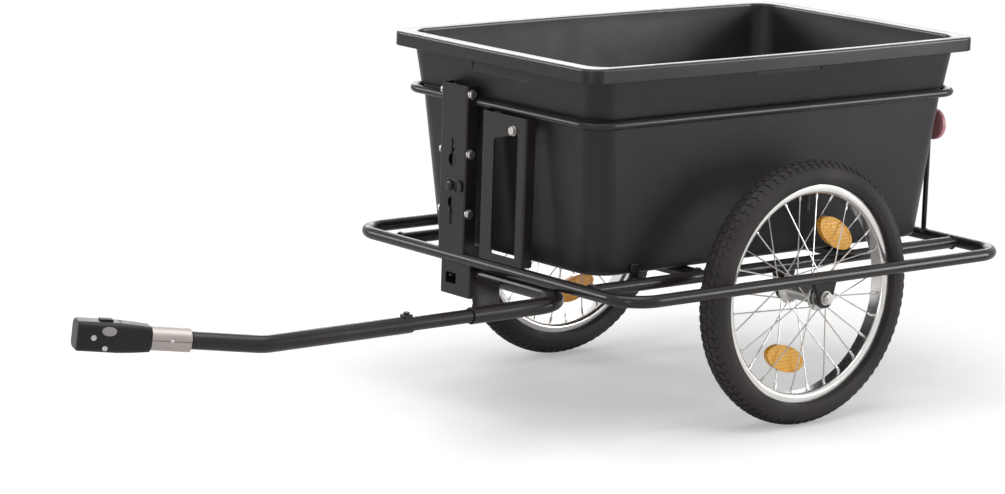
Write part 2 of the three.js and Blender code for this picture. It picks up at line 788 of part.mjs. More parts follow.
// The splice screw goes through the boss and presses on the slide tube
function spliceScrew() {
  const face = spliceTop + seatGap;
  const tip = towZ + towSlideRadius + seatGap;
  return join(
    uprightBar(spliceX, towBarOffset, tip, face + overrun, spliceScrewRadius, smallSides),
    uprightBar(spliceX, towBarOffset, face, face + spliceHeadHeight, spliceHeadRadius, tubeSides),
  );
}

// The coupling's pieces lie along their own +X, from the end of the front tube
const sleeveStart = collarFlange + seatGap * 2;
const sleeveEnd = sleeveStart + sleeveLength;
const stemEnd = sleeveEnd + stemLength;
const headStart = sleeveEnd + seatGap;
const headEnd = headStart + headLength;
const socketX = headStart + socketPlace;
const socketFloor = socketDepth - headWidth / 2;

// The collar centres the sleeve on the tube's end
function endCollar() {
  const spigotEnd = sleeveStart + collarSpigot;
  const flangeEnd = seatGap + collarFlange;
  return join(
    forwardBar(0, 0, -collarPlug, spigotEnd, towInnerRadius - seatGap),
    forwardBar(0, 0, seatGap, flangeEnd, towTubeRadius),
  );
}

// The sleeve carries the stem on which the coupling head swivels
function swivelSleeve() {
  const middle = (sleeveStart + sleeveEnd) / 2;
  const pinHole = acrossBar(
    middle, 0, -sleeveRadius - overrun, sleeveRadius + overrun, sleevePinRadius + seatGap, smallSides);
  const spigotBore = forwardBar(
    0, 0, sleeveStart - overrun, sleeveStart + collarSpigot + seatGap, towInnerRadius);
  const body = join(
    forwardBar(0, 0, sleeveStart, sleeveEnd, sleeveRadius),
    forwardBar(0, 0, sleeveEnd - overrun, stemEnd - stemHeadLength + overrun, stemRadius),
    forwardBar(0, 0, stemEnd - stemHeadLength, stemEnd, stemHeadRadius),
  );
  return cut(body, pinHole, spigotBore);
}

function sleevePin() {
  const reach = sleeveRadius + sleevePinProud;
  return acrossBar((sleeveStart + sleeveEnd) / 2, 0, -reach, reach, sleevePinRadius, smallSides);
}

function headRing(x, width, height) {
  const flat = rectangleRing(width / 2, height / 2, headEdge, 0);
  return flat.map((point) => new THREE.Vector3(x, point.x, point.y));
}

// The head is a moulded shell with a bore for the stem and a side mouth for the bike's stud
function couplingHead() {
  const body = loft([
    headRing(headStart, headRearWidth - headEdge, headRearHeight - headEdge),
    headRing(headStart + headEdge / 2, headRearWidth, headRearHeight),
    headRing(headStart + headFlareLength, headWidth, headHeight),
    headRing(headEnd - headEdge / 2, headWidth, headHeight),
    headRing(headEnd, headWidth - headEdge, headHeight - headEdge),
  ]);
  const pocketFloor = headHeight / 2 + buttonProud - buttonHeight - buttonTravel - seatGap;
  const [pocketX, pocketY] = [buttonLength / 2 + seatGap, buttonWidth / 2 + seatGap];
  const buttonX = headStart + buttonPlace;
  return cut(
    body,
    forwardBar(0, 0, headStart - overrun, stemEnd, stemRadius + seatGap),
    forwardBar(0, 0, stemEnd - stemHeadLength - seatGap, stemEnd + seatGap, stemHeadRadius + seatGap),
    acrossBar(
      socketX, 0, -headWidth / 2 - overrun, socketFloor + seatGap, socketRadius + socketWall + seatGap),
    acrossBar(socketX, 0, socketFloor, headWidth / 2 + overrun, headPinRadius + seatGap, tubeSides),
    block(
      buttonX - pocketX, buttonX + pocketX, -pocketY, pocketY, pocketFloor, headHeight / 2 + overrun),
  );
}

function couplingSocket() {
  const mouth = -headWidth / 2;
  const body = acrossBar(socketX, 0, mouth, socketFloor, socketRadius + socketWall);
  return cut(body, acrossBar(socketX, 0, mouth - overrun, socketFloor - socketWall, socketRadius));
}

function headPin() {
  const end = headWidth / 2 + headPinProud;
  return acrossBar(socketX, 0, socketFloor + seatGap, end, headPinRadius, tubeSides);
}

function releaseButton() {
  const x = headStart + buttonPlace;
  const top = headHeight / 2 + buttonProud;
  return block(
    x - buttonLength / 2, x + buttonLength / 2, -buttonWidth / 2, buttonWidth / 2, top - buttonHeight, top);
}

// Wheel pieces are made about their own Y axis, with +Y towards the outside of the trailer
const tyreRadius = tyreWidth / 2;
const tyreCentre = wheelRadius - tyreRadius;
const rimInner = rimRadius - rimDepth;
const beadSeat = rimRadius - beadDepth;
const beadHalf = rimWidth / 2 - rimWall - seatGap;
const tyreShoulder = rimRadius + seatGap + tyreWall; // where its wall turns outwards over the rim's edge
const crownSteps = 6;

// The tyre's section is an open horseshoe whose two beads stand in the rim
function crown(radius, trim) {
  const open = Math.asin((rimRadius + seatGap - tyreCentre) / tyreRadius);
  const points = arcPoints(0, 0, radius, open, Math.PI - open, crownSteps);
  return points.slice(trim, points.length - trim).map(([place, out]) => [tyreCentre + out, place]);
}

function tyre() {
  const foot = beadSeat + seatGap;
  const lap = rimRadius + seatGap;
  const inner = beadHalf - tyreWall;
  const inside = crown(tyreRadius - tyreWall, 1).reverse();
  return turned([
    [foot, beadHalf], [lap, beadHalf], ...crown(tyreRadius, 0), [lap, -beadHalf], [foot, -beadHalf],
    [foot, -inner], [tyreShoulder, -inner], ...inside, [tyreShoulder, inner], [foot, inner],
  ], wheelSides);
}

// The inner tube fills the tyre, and its valve comes through the rim between two spokes
function innerTube() {
  const foot = beadSeat + seatGap * 2;
  const half = beadHalf - tyreWall - seatGap * 2;
  const outside = crown(tyreRadius - tyreWall - seatGap * 2, 1);
  const ring = turned([
    [foot, half], [tyreShoulder, half], ...outside, [tyreShoulder, -half], [foot, -half],
  ], wheelSides);
  const valve = uprightBar(0, 0, rimInner - valveReach, foot + valveRadius, valveRadius, smallSides);
  return join(ring, valve);
}

function rim() {
  const half = rimWidth / 2;
  const channelHalf = half - rimWall;
  const ring = turned([
    [rimInner, -channelHalf], [rimInner, channelHalf], [beadSeat, half], [rimRadius, half],
    [rimRadius, channelHalf], [beadSeat, channelHalf], [beadSeat, -channelHalf],
    [rimRadius, -channelHalf], [rimRadius, -half], [beadSeat, -half],
  ], wheelSides);
  const hole = uprightBar(0, 0, rimInner - overrun, rimRadius + overrun, valveRadius + seatGap, smallSides);
  return cut(ring, hole);
}

// The hub, its spokes and their nipples are laced into one piece
function hubAndSpokes() {
  const half = hubLength / 2;
  const flange = half - hubFlangeThickness;
  const pocket = half - bearingWidth - seatGap;
  const seat = bearingRadius + seatGap;
  const barrel = turned([
    [hubBoreRadius, -pocket], [seat, -pocket], [seat, -half], [hubFlangeRadius, -half],
    [hubFlangeRadius, -flange], [hubBarrelRadius, -flange], [hubBarrelRadius, flange],
    [hubFlangeRadius, flange], [hubFlangeRadius, half], [seat, half], [seat, pocket],
    [hubBoreRadius, pocket],
  ]);
  const pitch = (2 * Math.PI) / spokesPerSide;
  const rootRadius = hubFlangeRadius - spokeRadius * 2;
  const tipRadius = rimInner - nippleGap;
  const spokes = [-1, 1].flatMap((side) => Array.from({ length: spokesPerSide }, (_, k) => {
    const head = k % 2 ? 1 : -1;
    const tipTurn = pitch * (k + side / 4);
    const rootPlace = side * (half - hubFlangeThickness / 2) + head * hubFlangeThickness / 2;
    const root = new THREE.Vector3(rootRadius, rootPlace, 0);
    const tip = new THREE.Vector3(tipRadius, 0, 0);
    root.applyAxisAngle(THREE.Object3D.DEFAULT_UP, tipTurn - head * spokeLead * pitch);
    tip.applyAxisAngle(THREE.Object3D.DEFAULT_UP, tipTurn);
    const nippleRoot = tip.clone().lerp(root, nippleLength / tip.distanceTo(root));
    return join(
      bar(root, nippleRoot.clone().lerp(tip, 1 / 2), spokeRadius, spokeSides),
      bar(nippleRoot, tip, nippleRadius, spokeSides),
    );
  }));
  return join(barrel, ...spokes);
}

function bearing(side) {
  const half = hubLength / 2;
  const [inner, outer] = [half - bearingWidth, half];
  const ring = turned([
    [axleRadius + seatGap, inner], [bearingRadius, inner], [bearingRadius, outer],
    [axleRadius + seatGap, outer],
  ]);
  return side > 0 ? ring : ring.rotateZ(Math.PI);
}

// The axle has a cone on each side of the hub, which reaches the drop-out plate there
const plateHalf = bracketThickness / 2 + seatGap;

function axle() {
  const reach = axleNutLength + overrun;
  const hubFace = hubLength / 2 + seatGap;
  return join(
    acrossBar(0, 0, -innerPlate - plateHalf - reach, outerPlate + plateHalf + reach, axleRadius, tubeSides),
    acrossBar(0, 0, hubFace, outerPlate - plateHalf, axleConeRadius),
    acrossBar(0, 0, plateHalf - innerPlate, -hubFace, axleConeRadius),
  );
}

function axleNut(side) {
  const face = side > 0 ? outerPlate + plateHalf : -innerPlate - plateHalf;
  const [low, high] = [face, face + side * axleNutLength].sort((a, b) => a - b);
  const bore = acrossBar(0, 0, low - overrun, high + overrun, axleRadius + seatGap, tubeSides);
  return cut(acrossBar(0, 0, low, high, axleNutRadius, hexSides), bore);
}

// A spoke reflector is a long oval block that stands between the two sides of spokes
function spokeReflector(turn) {
  const circle = arcPoints(0, 0, reflectorHeight / 2, 0, 2 * Math.PI, roundSides).slice(1);
  const outline = circle.map(([x, z]) => [(x * reflectorLength) / reflectorHeight, z]);
  const plate = uprightPlate(outline, -reflectorThickness / 2, reflectorThickness / 2);
  plate.rotateY(Math.PI / 2).translate(rimInner - reflectorInset, 0, 0);
  return plate.rotateY(-THREE.MathUtils.degToRad(turn));
}

// Everything is put together in the trailer's own frame
const trailer = new THREE.Group();

function addFrame() {
  addPiece(trailer, "guard_loop",
    loopTube(crossbarPlace, guardPlace, guardBend, frameHeight, frameTubeRadius), blackPaint);
  addPiece(trailer, "hoop",
    loopTube(hoopEnd, hoopSide, hoopBend, hoopHeight, hoopTubeRadius), blackPaint);
  [["left", 1], ["right", -1]].forEach(([name, side]) => {
    addPiece(trailer, name + "_inner_rail", innerRail(side), blackPaint);
    addPiece(trailer, name + "_bracket_outer", axleBracket(side * guardPlace), blackPaint);
    addPiece(trailer, name + "_bracket_inner", axleBracket(side * (wheelPlace - innerPlate)), blackPaint);
    addPiece(trailer, name + "_rear_post", rearPost(side), blackPaint);
    addPiece(trailer, name + "_rear_reflector", rearReflector(side), redPlastic);
  });
  addPiece(trailer, "front_cross_tube", crossTube(1), blackPaint);
  addPiece(trailer, "rear_cross_tube", crossTube(-1), blackPaint);
  addPiece(trailer, "mast", mast(), blackPaint);
  [0, 1, 2].forEach((index) => {
    addPiece(trailer, "mast_bolt_" + (index + 1), mastBolt(index), zincSteel);
  });
  addPiece(trailer, "mast_latch", mastLatch(), blackPaint);
  addPiece(trailer, "front_post", frontPost(), blackPaint);
  addPiece(trailer, "front_post_bolt", postBolt(), zincSteel);
}

function addTowBar() {
  addPiece(trailer, "tow_box", towBox(), blackPaint);
  addPiece(trailer, "clamp_screw", clampScrew(), blackPlastic);
  addPiece(trailer, "clamp_nut", clampNut(), zincSteel);
  addPiece(trailer, "tow_rear_tube", rearTube(), blackPaint);
  addPiece(trailer, "tow_brace", towBrace(), blackPaint);
  addPiece(trailer, "tow_slide_tube", slideTube(), blackPaint);
  addPiece(trailer, "tow_front_tube", frontTube(), blackPaint);
  addPiece(trailer, "splice_screw", spliceScrew(), blackPaint);
}

function addCoupling() {
  const coupling = new THREE.Group();
  coupling.position.copy(neckEnd);
  coupling.quaternion.setFromRotationMatrix(new THREE.Matrix4().makeBasis(neckAlong, neckAcross, neckUp));
  trailer.add(coupling);
  addPiece(coupling, "end_collar", endCollar(), blackPlastic);
  addPiece(coupling, "swivel_sleeve", swivelSleeve(), zincSteel);
  addPiece(coupling, "sleeve_pin", sleevePin(), zincSteel);
  addPiece(coupling, "coupling_head", couplingHead(), blackPlastic);
  addPiece(coupling, "coupling_socket", couplingSocket(), zincSteel);
  addPiece(coupling, "coupling_pin", headPin(), zincSteel);
  addPiece(coupling, "release_button", releaseButton(), blackPlastic);
}

function addWheel(name, side) {
  const wheel = new THREE.Group();
  wheel.position.set(0, side * wheelPlace, axleHeight);
  trailer.add(wheel);
  const turned = new THREE.Group();
  turned.rotation.z = side > 0 ? 0 : Math.PI;
  wheel.add(turned);
  addPiece(turned, name + "_tyre", tyre(), tyreRubber);
  addPiece(turned, name + "_inner_tube", innerTube(), tyreRubber);
  addPiece(turned, name + "_rim", rim(), rimAlloy);
  addPiece(turned, name + "_hub_and_spokes", hubAndSpokes(), zincSteel);
  addPiece(turned, name + "_bearing_outer", bearing(1), zincSteel);
  addPiece(turned, name + "_bearing_inner", bearing(-1), zincSteel);
  addPiece(turned, name + "_axle", axle(), zincSteel);
  addPiece(turned, name + "_nut_outer", axleNut(1), zincSteel);
  addPiece(turned, name + "_nut_inner", axleNut(-1), zincSteel);
  const rest = side > 0 ? 0 : rightWheelTurn;
  addPiece(wheel, name + "_reflector_upper", spokeReflector(upperReflectorTurn + rest), amberPlastic);
  addPiece(wheel, name + "_reflector_lower", spokeReflector(lowerReflectorTurn + rest), amberPlastic);
}

addFrame();
addTowBar();
addCoupling();
addPiece(trailer, "tub", tub(), tubPlastic);
addWheel("left", 1);
addWheel("right", -1);

// The finished model's own frame has its origin under the middle of its outer box
const bounds = new THREE.Box3().setFromObject(trailer);
trailer.position.x = -(bounds.min.x + bounds.max.x) / 2;
const part = new THREE.Group();
part.add(trailer);

export default part;
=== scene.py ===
from math import copysign, cos, pi, radians, sin, tan

import bpy
from mathutils import Euler, Matrix, Vector


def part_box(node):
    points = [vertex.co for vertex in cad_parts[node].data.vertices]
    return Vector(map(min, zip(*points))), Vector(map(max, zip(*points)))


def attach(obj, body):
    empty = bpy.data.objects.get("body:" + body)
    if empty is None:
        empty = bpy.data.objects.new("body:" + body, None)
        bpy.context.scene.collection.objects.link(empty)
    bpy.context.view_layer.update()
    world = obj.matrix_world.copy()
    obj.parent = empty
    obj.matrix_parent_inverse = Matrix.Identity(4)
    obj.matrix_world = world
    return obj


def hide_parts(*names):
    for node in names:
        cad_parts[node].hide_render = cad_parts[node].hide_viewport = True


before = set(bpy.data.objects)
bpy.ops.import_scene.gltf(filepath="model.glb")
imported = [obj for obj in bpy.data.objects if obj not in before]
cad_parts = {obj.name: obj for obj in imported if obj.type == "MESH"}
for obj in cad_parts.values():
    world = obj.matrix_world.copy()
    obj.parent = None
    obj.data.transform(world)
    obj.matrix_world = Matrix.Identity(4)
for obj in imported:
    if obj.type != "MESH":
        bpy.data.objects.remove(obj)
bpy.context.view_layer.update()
scene = bpy.context.scene

# Camera: the photo looks down a little on the trailer's left front corner, from about five metres
# away and through a long lens, with the horizon tilted by two degrees.
photo_width = 1005
focal_length_in_pixels = 3697.2
sensor_width = 36
camera_reach = 100
camera_place = Vector((3.28799, 4.06585, 1.27692))
camera_heading = 0.68527  # radians, from -Y towards -X
camera_dip = 0.19334
camera_roll = 0.03176

camera_data = bpy.data.cameras.new("camera")
camera_data.sensor_width = sensor_width
camera_data.lens = sensor_width * focal_length_in_pixels / photo_width
camera_data.clip_end = camera_reach
camera = bpy.data.objects.new("camera", camera_data)
scene.collection.objects.link(camera)
camera_turn = Euler((pi / 2 - camera_dip, 0, pi - camera_heading)).to_matrix().to_4x4()
camera.matrix_world = Matrix.Translation(camera_place) @ camera_turn @ Matrix.Rotation(camera_roll, 4, "Z")
scene.camera = camera

# Studio: a white floor that fades into a white background, a wide softbox over the trailer and four
# smaller ones round it. The floor keeps the soft shadow under the wheels and the tub.
floor_size = 60
floor_paper = (0.94, 0.93, 0.92, 1)
floor_glow = 0.3
shadow_reach = (1.1, 2.6)  # metres from the middle, over which the floor fades to plain white
sky_fill = 0.32
lamp_target = Vector((-0.2, 0, 0.3))
softboxes = {
    "softbox_over": ((0.3, 0.3, 3.0), (2.6, 2.6), 52),
    "softbox_rear": ((-3.8, 3.2, 1.1), (1.8, 2.0), 80),
    "softbox_front": ((2.4, -3.0, 1.3), (1.6, 1.0), 34),
    "softbox_near": ((4.3, 2.9, 0.75), (0.4, 1.3), 26),
    "softbox_far": ((-2.6, -3.2, 1.7), (3.4, 1.2), 40),
}


def new_piece(primitive, **settings):
    bpy.ops.object.select_all(action="DESELECT")
    primitive(**settings)
    return bpy.context.active_object


# An input is given a value or linked to another node's output, and add_node returns the outputs.
def wire(tree, node, inputs):
    for name, value in inputs.items():
        if isinstance(value, bpy.types.NodeSocket):
            tree.links.new(value, node.inputs[name])
        else:
            node.inputs[name].default_value = value


def add_node(tree, kind, inputs, **settings):
    node = tree.nodes.new("ShaderNode" + kind)
    for name, value in settings.items():
        setattr(node, name, value)
    wire(tree, node, inputs)
    return node.outputs


scene.view_settings.view_transform = "Standard"
world = bpy.data.worlds.new("studio")
scene.world = world
world.use_nodes = True
tree = world.node_tree
tree.nodes.clear()
rays = add_node(tree, "LightPath", {})
seen = add_node(tree, "Math", {0: rays["Is Camera Ray"], 1: rays["Is Glossy Ray"]}, operation="MAXIMUM")
seen_through = add_node(tree, "Math", {0: seen[0], 1: rays["Is Transmission Ray"]}, operation="MAXIMUM")
strength = add_node(tree, "MapRange", {"Value": seen_through[0], "To Min": sky_fill})
sky = add_node(tree, "Background", {"Strength": strength["Result"]})
add_node(tree, "OutputWorld", {"Surface": sky["Background"]})

floor = new_piece(bpy.ops.mesh.primitive_plane_add, size=floor_size)
floor.name = "floor"
floor_finish = bpy.data.materials.new("studio_floor")
floor_finish.use_nodes = True
tree = floor_finish.node_tree
tree.nodes.clear()
place = add_node(tree, "TexCoord", {})
distance = add_node(tree, "VectorMath", {0: place["Object"]}, operation="LENGTH")
fade = add_node(tree, "MapRange", {
    "Value": distance["Value"], "From Min": shadow_reach[0], "From Max": shadow_reach[1],
}, interpolation_type="SMOOTHSTEP")
rays = add_node(tree, "LightPath", {})
fade_if_seen = add_node(
    tree, "Math", {0: fade["Result"], 1: rays["Is Camera Ray"]}, operation="MULTIPLY")
paper = add_node(tree, "BsdfDiffuse", {"Color": floor_paper})
glow = add_node(tree, "Emission", {"Strength": floor_glow})
lifted = add_node(tree, "AddShader", {0: paper["BSDF"], 1: glow["Emission"]})
paper_if_seen = add_node(tree, "MixShader", {
    0: rays["Is Camera Ray"], 1: paper["BSDF"], 2: lifted["Shader"]})
white = add_node(tree, "Emission", {})
faded = add_node(tree, "MixShader", {
    0: fade_if_seen[0], 1: paper_if_seen["Shader"], 2: white["Emission"]})
add_node(tree, "OutputMaterial", {"Surface": faded["Shader"]})
floor.data.materials.append(floor_finish)

for name, (light_place, light_size, power) in softboxes.items():
    lamp_data = bpy.data.lights.new(name, "AREA")
    lamp_data.shape = "RECTANGLE"
    lamp_data.size, lamp_data.size_y = light_size
    lamp_data.energy = power
    lamp = bpy.data.objects.new(name, lamp_data)
    lamp.location = light_place
    lamp.rotation_euler = (lamp_target - Vector(light_place)).to_track_quat("-Z", "Y").to_euler()
    scene.collection.objects.link(lamp)

# Frame loops: two closed hoops of round steel tube, a thick one that guards the wheels and a thin
# one round the tub. Each is bent from one length, welded at its front and coated gloss black.
guard_bend, hoop_bend = 0.048, 0.034
round_sides = 32
merge_distance = 0.00002
ahead, leftward, up = Vector((1, 0, 0)), Vector((0, 1, 0)), Vector((0, 0, 1))


def box_of(node):
    low, high = (Vector(corner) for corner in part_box(node))
    return low, high, (low + high) / 2


def pick(piece, *others):
    bpy.ops.object.select_all(action="DESELECT")
    for each in (piece, *others):
        each.select_set(True)
    bpy.context.view_layer.objects.active = piece


def apply_modifier(piece, kind, **settings):
    pick(piece)
    bpy.ops.object.modifier_add(type=kind)
    modifier = piece.modifiers[-1]
    for name, value in settings.items():
        setattr(modifier, name, value)
    bpy.ops.object.modifier_apply(modifier=modifier.name)
    return piece


def open_mesh():
    bpy.ops.object.mode_set(mode="EDIT")


def close_mesh():
    bpy.ops.object.mode_set(mode="OBJECT")


def select_all():
    bpy.ops.mesh.select_all(action="SELECT")


def start_ring(place, heading, radius, sides=round_sides):
    turn = Vector(heading).to_track_quat("Z", "Y").to_euler()
    piece = new_piece(
        bpy.ops.mesh.primitive_circle_add, vertices=sides, radius=radius, location=place, rotation=turn)
    bpy.ops.object.transform_apply()
    open_mesh()
    select_all()
    return piece


def extend(step):
    bpy.ops.mesh.extrude_region_move(TRANSFORM_OT_translate={"value": step})


def bend(centre, axis, turn, steps=10):
    bpy.ops.mesh.spin(steps=steps, angle=-turn, center=centre, axis=axis)


def close_up():
    select_all()
    bpy.ops.mesh.remove_doubles(threshold=merge_distance)
    bpy.ops.mesh.normals_make_consistent(inside=False)
    close_mesh()


def loop_tube(node, bend_radius):
    low, high, middle = box_of(node)
    radius = (high.z - low.z) / 2
    front_x = (high.x - low.x) / 2 - radius
    along, across = front_x - bend_radius, (high.y - low.y) / 2 - radius - bend_radius
    piece = start_ring(middle + Vector((front_x, 0, 0)), leftward, radius)
    extend((0, across, 0))
    for corner, run in (((along, across, 0), (-2 * along, 0, 0)), ((-along, across, 0), (0, -2 * across, 0)),
                        ((-along, -across, 0), (2 * along, 0, 0)), ((along, -across, 0), (0, across, 0))):
        bend(middle + Vector(corner), up, pi / 2)
        extend(run)
    close_up()
    return piece


def new_group(name, inputs, outputs):
    group = bpy.data.node_groups.new(name, "ShaderNodeTree")
    for side, sockets in (("INPUT", inputs), ("OUTPUT", outputs)):
        for socket, kind in sockets.items():
            group.interface.new_socket(socket, in_out=side, socket_type="NodeSocket" + kind)
    return group, group.nodes.new("NodeGroupInput").outputs


def make_grain_group():
    tree, given = new_group(
        "surface_grain", {"Fineness": "Float", "Depth": "Float", "Smoothest": "Float", "Roughest": "Float"},
        {"Roughness": "Float", "Normal": "Vector"})
    place = add_node(tree, "TexCoord", {})["Object"]
    grain = add_node(tree, "TexNoise", {"Vector": place, "Scale": given["Fineness"], "Detail": 2})
    wear = add_node(tree, "TexNoise", {"Vector": place, "Scale": 14, "Detail": 6})
    spread = add_node(tree, "MapRange", {
        "Value": wear["Fac"], "From Min": 0.3, "From Max": 0.7,
        "To Min": given["Smoothest"], "To Max": given["Roughest"]})
    bump = add_node(tree, "Bump", {"Height": grain["Fac"], "Distance": given["Depth"]})
    wire(tree, tree.nodes.new("NodeGroupOutput"), {
        "Roughness": spread["Result"], "Normal": bump["Normal"]})
    return tree


def make_dust_group():
    tree, given = new_group(
        "settled_dust", {"Clean": "Color", "Dust": "Color", "Amount": "Float"}, {"Color": "Color"})
    place = add_node(tree, "TexCoord", {})["Object"]
    patches = add_node(tree, "TexNoise", {"Vector": place, "Scale": 9, "Detail": 8})
    thin = add_node(tree, "MapRange", {
        "Value": patches["Fac"], "From Min": 0.35, "From Max": 0.75})
    share = add_node(tree, "Math", {0: thin["Result"], 1: given["Amount"]}, operation="MULTIPLY")
    mixed = add_node(
        tree, "Mix", {"Factor": share[0], "A": given["Clean"], "B": given["Dust"]},
        data_type="RGBA")
    wire(tree, tree.nodes.new("NodeGroupOutput"), {"Color": mixed["Result"]})
    return tree


surface_grain = make_grain_group()
settled_dust = make_dust_group()


# A finish is the pair of the slot that a piece fills and the material that it gets.
def new_finish(slot, name, colour, dust, dust_amount, fineness, depth, smoothest, roughest,
               metallic=0.0, gloss=0.5):
    material = bpy.data.materials.new(name)
    material.use_nodes = True
    tree = material.node_tree
    grain = add_node(tree, "Group", {
        "Fineness": fineness, "Depth": depth, "Smoothest": smoothest, "Roughest": roughest,
    }, node_tree=surface_grain)
    settled = add_node(
        tree, "Group", {"Clean": (*colour, 1), "Dust": (*dust, 1), "Amount": dust_amount},
        node_tree=settled_dust)
    wire(tree, tree.nodes["Principled BSDF"], {
        "Metallic": metallic, "Specular IOR Level": gloss, "Base Color": settled["Color"],
        "Roughness": grain["Roughness"], "Normal": grain["Normal"]})
    return slot, material


gloss_black = new_finish(
    "black_paint", "gloss_black_coat", (0.018, 0.0138, 0.0140), (0.06, 0.05, 0.048), dust_amount=0.25,
    fineness=420, depth=0.00008, smoothest=0.16, roughest=0.3, gloss=0.38)


def settle(piece, name, body, finish, *nodes, crease=35):
    slot, material = finish
    pick(piece)
    bpy.ops.object.transform_apply()
    bpy.ops.object.shade_smooth_by_angle(angle=radians(crease))
    apply_modifier(piece, "WEIGHTED_NORMAL", keep_sharp=True)
    piece.name = name
    piece.data.name = name
    piece.data.materials.clear()
    piece.data.materials.append(material)
    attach(piece, body)
    if nodes:
        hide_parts(*nodes)


settle(loop_tube("guard_loop", guard_bend), "guard_loop_tube", "frame", gloss_black, "guard_loop")
settle(loop_tube("hoop", hoop_bend), "hoop_tube", "frame", gloss_black, "hoop")

# Rails and cross tubes: straight lengths of the same tube, cut square and welded. The rails join the
# guard's crossbars and the cross tubes join the rails. Each rail has two bent tabs of flat steel that
# keep the tub's foot in its place.
rail_radius = 0.009
tab_reach, tab_width, tab_thickness, tab_bevel = 0.26, 0.016, 0.004, 0.0012


def straight_tube(start, end, radius, sides=round_sides):
    start, end = Vector(start), Vector(end)
    piece = start_ring(start, end - start, radius, sides)
    bpy.ops.mesh.edge_face_add()
    extend(end - start)
    close_up()
    return piece


def block(low, high):
    piece = new_piece(bpy.ops.mesh.primitive_cube_add, size=1, location=(low + high) / 2)
    piece.scale = high - low
    bpy.ops.object.transform_apply()
    return piece


def rounded_block(low, high, bevel_width, segments=3):
    piece = block(Vector(low), Vector(high))
    open_mesh()
    select_all()
    bpy.ops.mesh.bevel(offset=bevel_width, segments=segments)
    close_mesh()
    return piece


def joined(first, *others):
    if others:
        pick(first, *others)
        bpy.ops.object.join()
    return first


rail_lines = {}
for side_name, side in (("left", 1), ("right", -1)):
    node = side_name + "_inner_rail"
    low, high, middle = box_of(node)
    inner, outer = (low.y, high.y) if side > 0 else (high.y, low.y)
    rail_y, rail_z = outer - side * rail_radius, low.z + rail_radius
    rail_lines[node] = (rail_y, rail_z)
    pieces = [straight_tube((low.x, rail_y, rail_z), (high.x, rail_y, rail_z), rail_radius)]
    for end in (-1, 1):
        rear = middle.x + end * tab_reach - tab_width / 2
        for far_y, top in ((inner + side * tab_thickness, high.z), (rail_y, rail_z + tab_thickness)):
            near, far = sorted((inner, far_y))
            pieces.append(rounded_block((rear, near, rail_z), (rear + tab_width, far, top), tab_bevel))
    settle(joined(*pieces), node + "_tube", "frame", gloss_black, node)

for node in ("front_cross_tube", "rear_cross_tube"):
    low, high, middle = box_of(node)
    piece = straight_tube((middle.x, low.y, middle.z), (middle.x, high.y, middle.z), rail_radius)
    settle(piece, node + "_bar", "frame", gloss_black, node)

# Rear posts and reflectors: two thin rods stand between the rear crossbar and the hoop, and each
# carries a round red reflector in a cup of paler red plastic, screwed on from behind.
post_lap = Vector((0, 0, 0.004))
small_sides, fine_sides = 20, 48
cup_wall, cup_depth = 0.0016, 0.0075
lens_ring, lens_play = 0.019, 0.0002


# A profile is a row of (radius, place along the axis), from one end of the piece to the other.
def lathe(place, heading, profile, sides=round_sides, closed=False):
    place, heading = Vector(place), Vector(heading).normalized()
    radius, along = profile[0]
    piece = start_ring(place + heading * along, heading, radius, sides)
    if not closed:
        bpy.ops.mesh.edge_face_add()
        select_all()
    for next_radius, next_along in profile[1:]:
        extend(heading * (next_along - along))
        size = next_radius / radius
        bpy.ops.transform.resize(value=(size, size, size), center_override=place + heading * next_along)
        radius, along = next_radius, next_along
    close_up()
    return piece


def prism_finish(slot, name, deep, bright, cells, facet_depth):
    material = bpy.data.materials.new(name)
    material.use_nodes = True
    tree = material.node_tree
    place = add_node(tree, "TexCoord", {})
    facets = add_node(tree, "TexVoronoi", {
        "Vector": place["Object"], "Scale": cells, "Randomness": 0.25})["Distance"]
    depth = add_node(tree, "MapRange", {"Value": facets, "From Max": 0.75})
    tint = add_node(tree, "Mix", {
        "Factor": depth["Result"], "A": (*bright, 1), "B": (*deep, 1)}, data_type="RGBA")
    bump = add_node(tree, "Bump", {"Height": facets, "Distance": facet_depth})
    wire(tree, tree.nodes["Principled BSDF"], {
        "Roughness": 0.18, "Coat Weight": 1.0, "Base Color": tint["Result"],
        "Normal": bump["Normal"]})
    return slot, material


red_lens = prism_finish(
    "red_plastic", "red_lens", (0.30, 0.004, 0.008), (0.72, 0.03, 0.04), cells=230, facet_depth=0.0004)
pale_red = new_finish(
    "red_plastic", "pale_red_plastic", (0.62, 0.24, 0.26), (0.6, 0.4, 0.4), dust_amount=0.3,
    fineness=600, depth=0.0001, smoothest=0.3, roughest=0.42)

for side_name in ("left", "right"):
    node = side_name + "_rear_post"
    low, high, middle = box_of(node)
    foot, head = (Vector((middle.x, middle.y, z)) for z in (low.z, high.z))
    piece = straight_tube(foot - post_lap, head + post_lap, (high.x - low.x) / 2, small_sides)
    settle(piece, node + "_rod", "frame", gloss_black, node)
    node = side_name + "_rear_reflector"
    low, high, middle = box_of(node)
    radius, reach = (high.z - low.z) / 2, high.x - low.x
    foot = Vector((high.x, middle.y, middle.z))
    cup = lathe(foot, -ahead, [
        (radius * 0.6, 0), (radius - 0.002, 0.0005), (radius, 0.002), (radius, cup_depth),
        (radius - cup_wall, cup_depth + 0.0004), (radius - cup_wall, cup_depth - 0.002)], fine_sides)
    settle(cup, node + "_cup", "frame", pale_red)
    lens_radius = radius - cup_wall - lens_play
    lens = lathe(foot, -ahead, [
        (lens_radius, 0.003), (lens_radius, reach - 0.0022), (lens_ring, reach - 0.0012),
        (lens_ring - 0.003, reach - 0.0004), (0.006, reach), (0.0005, reach)], fine_sides)
    settle(lens, node + "_lens", "frame", red_lens, node)

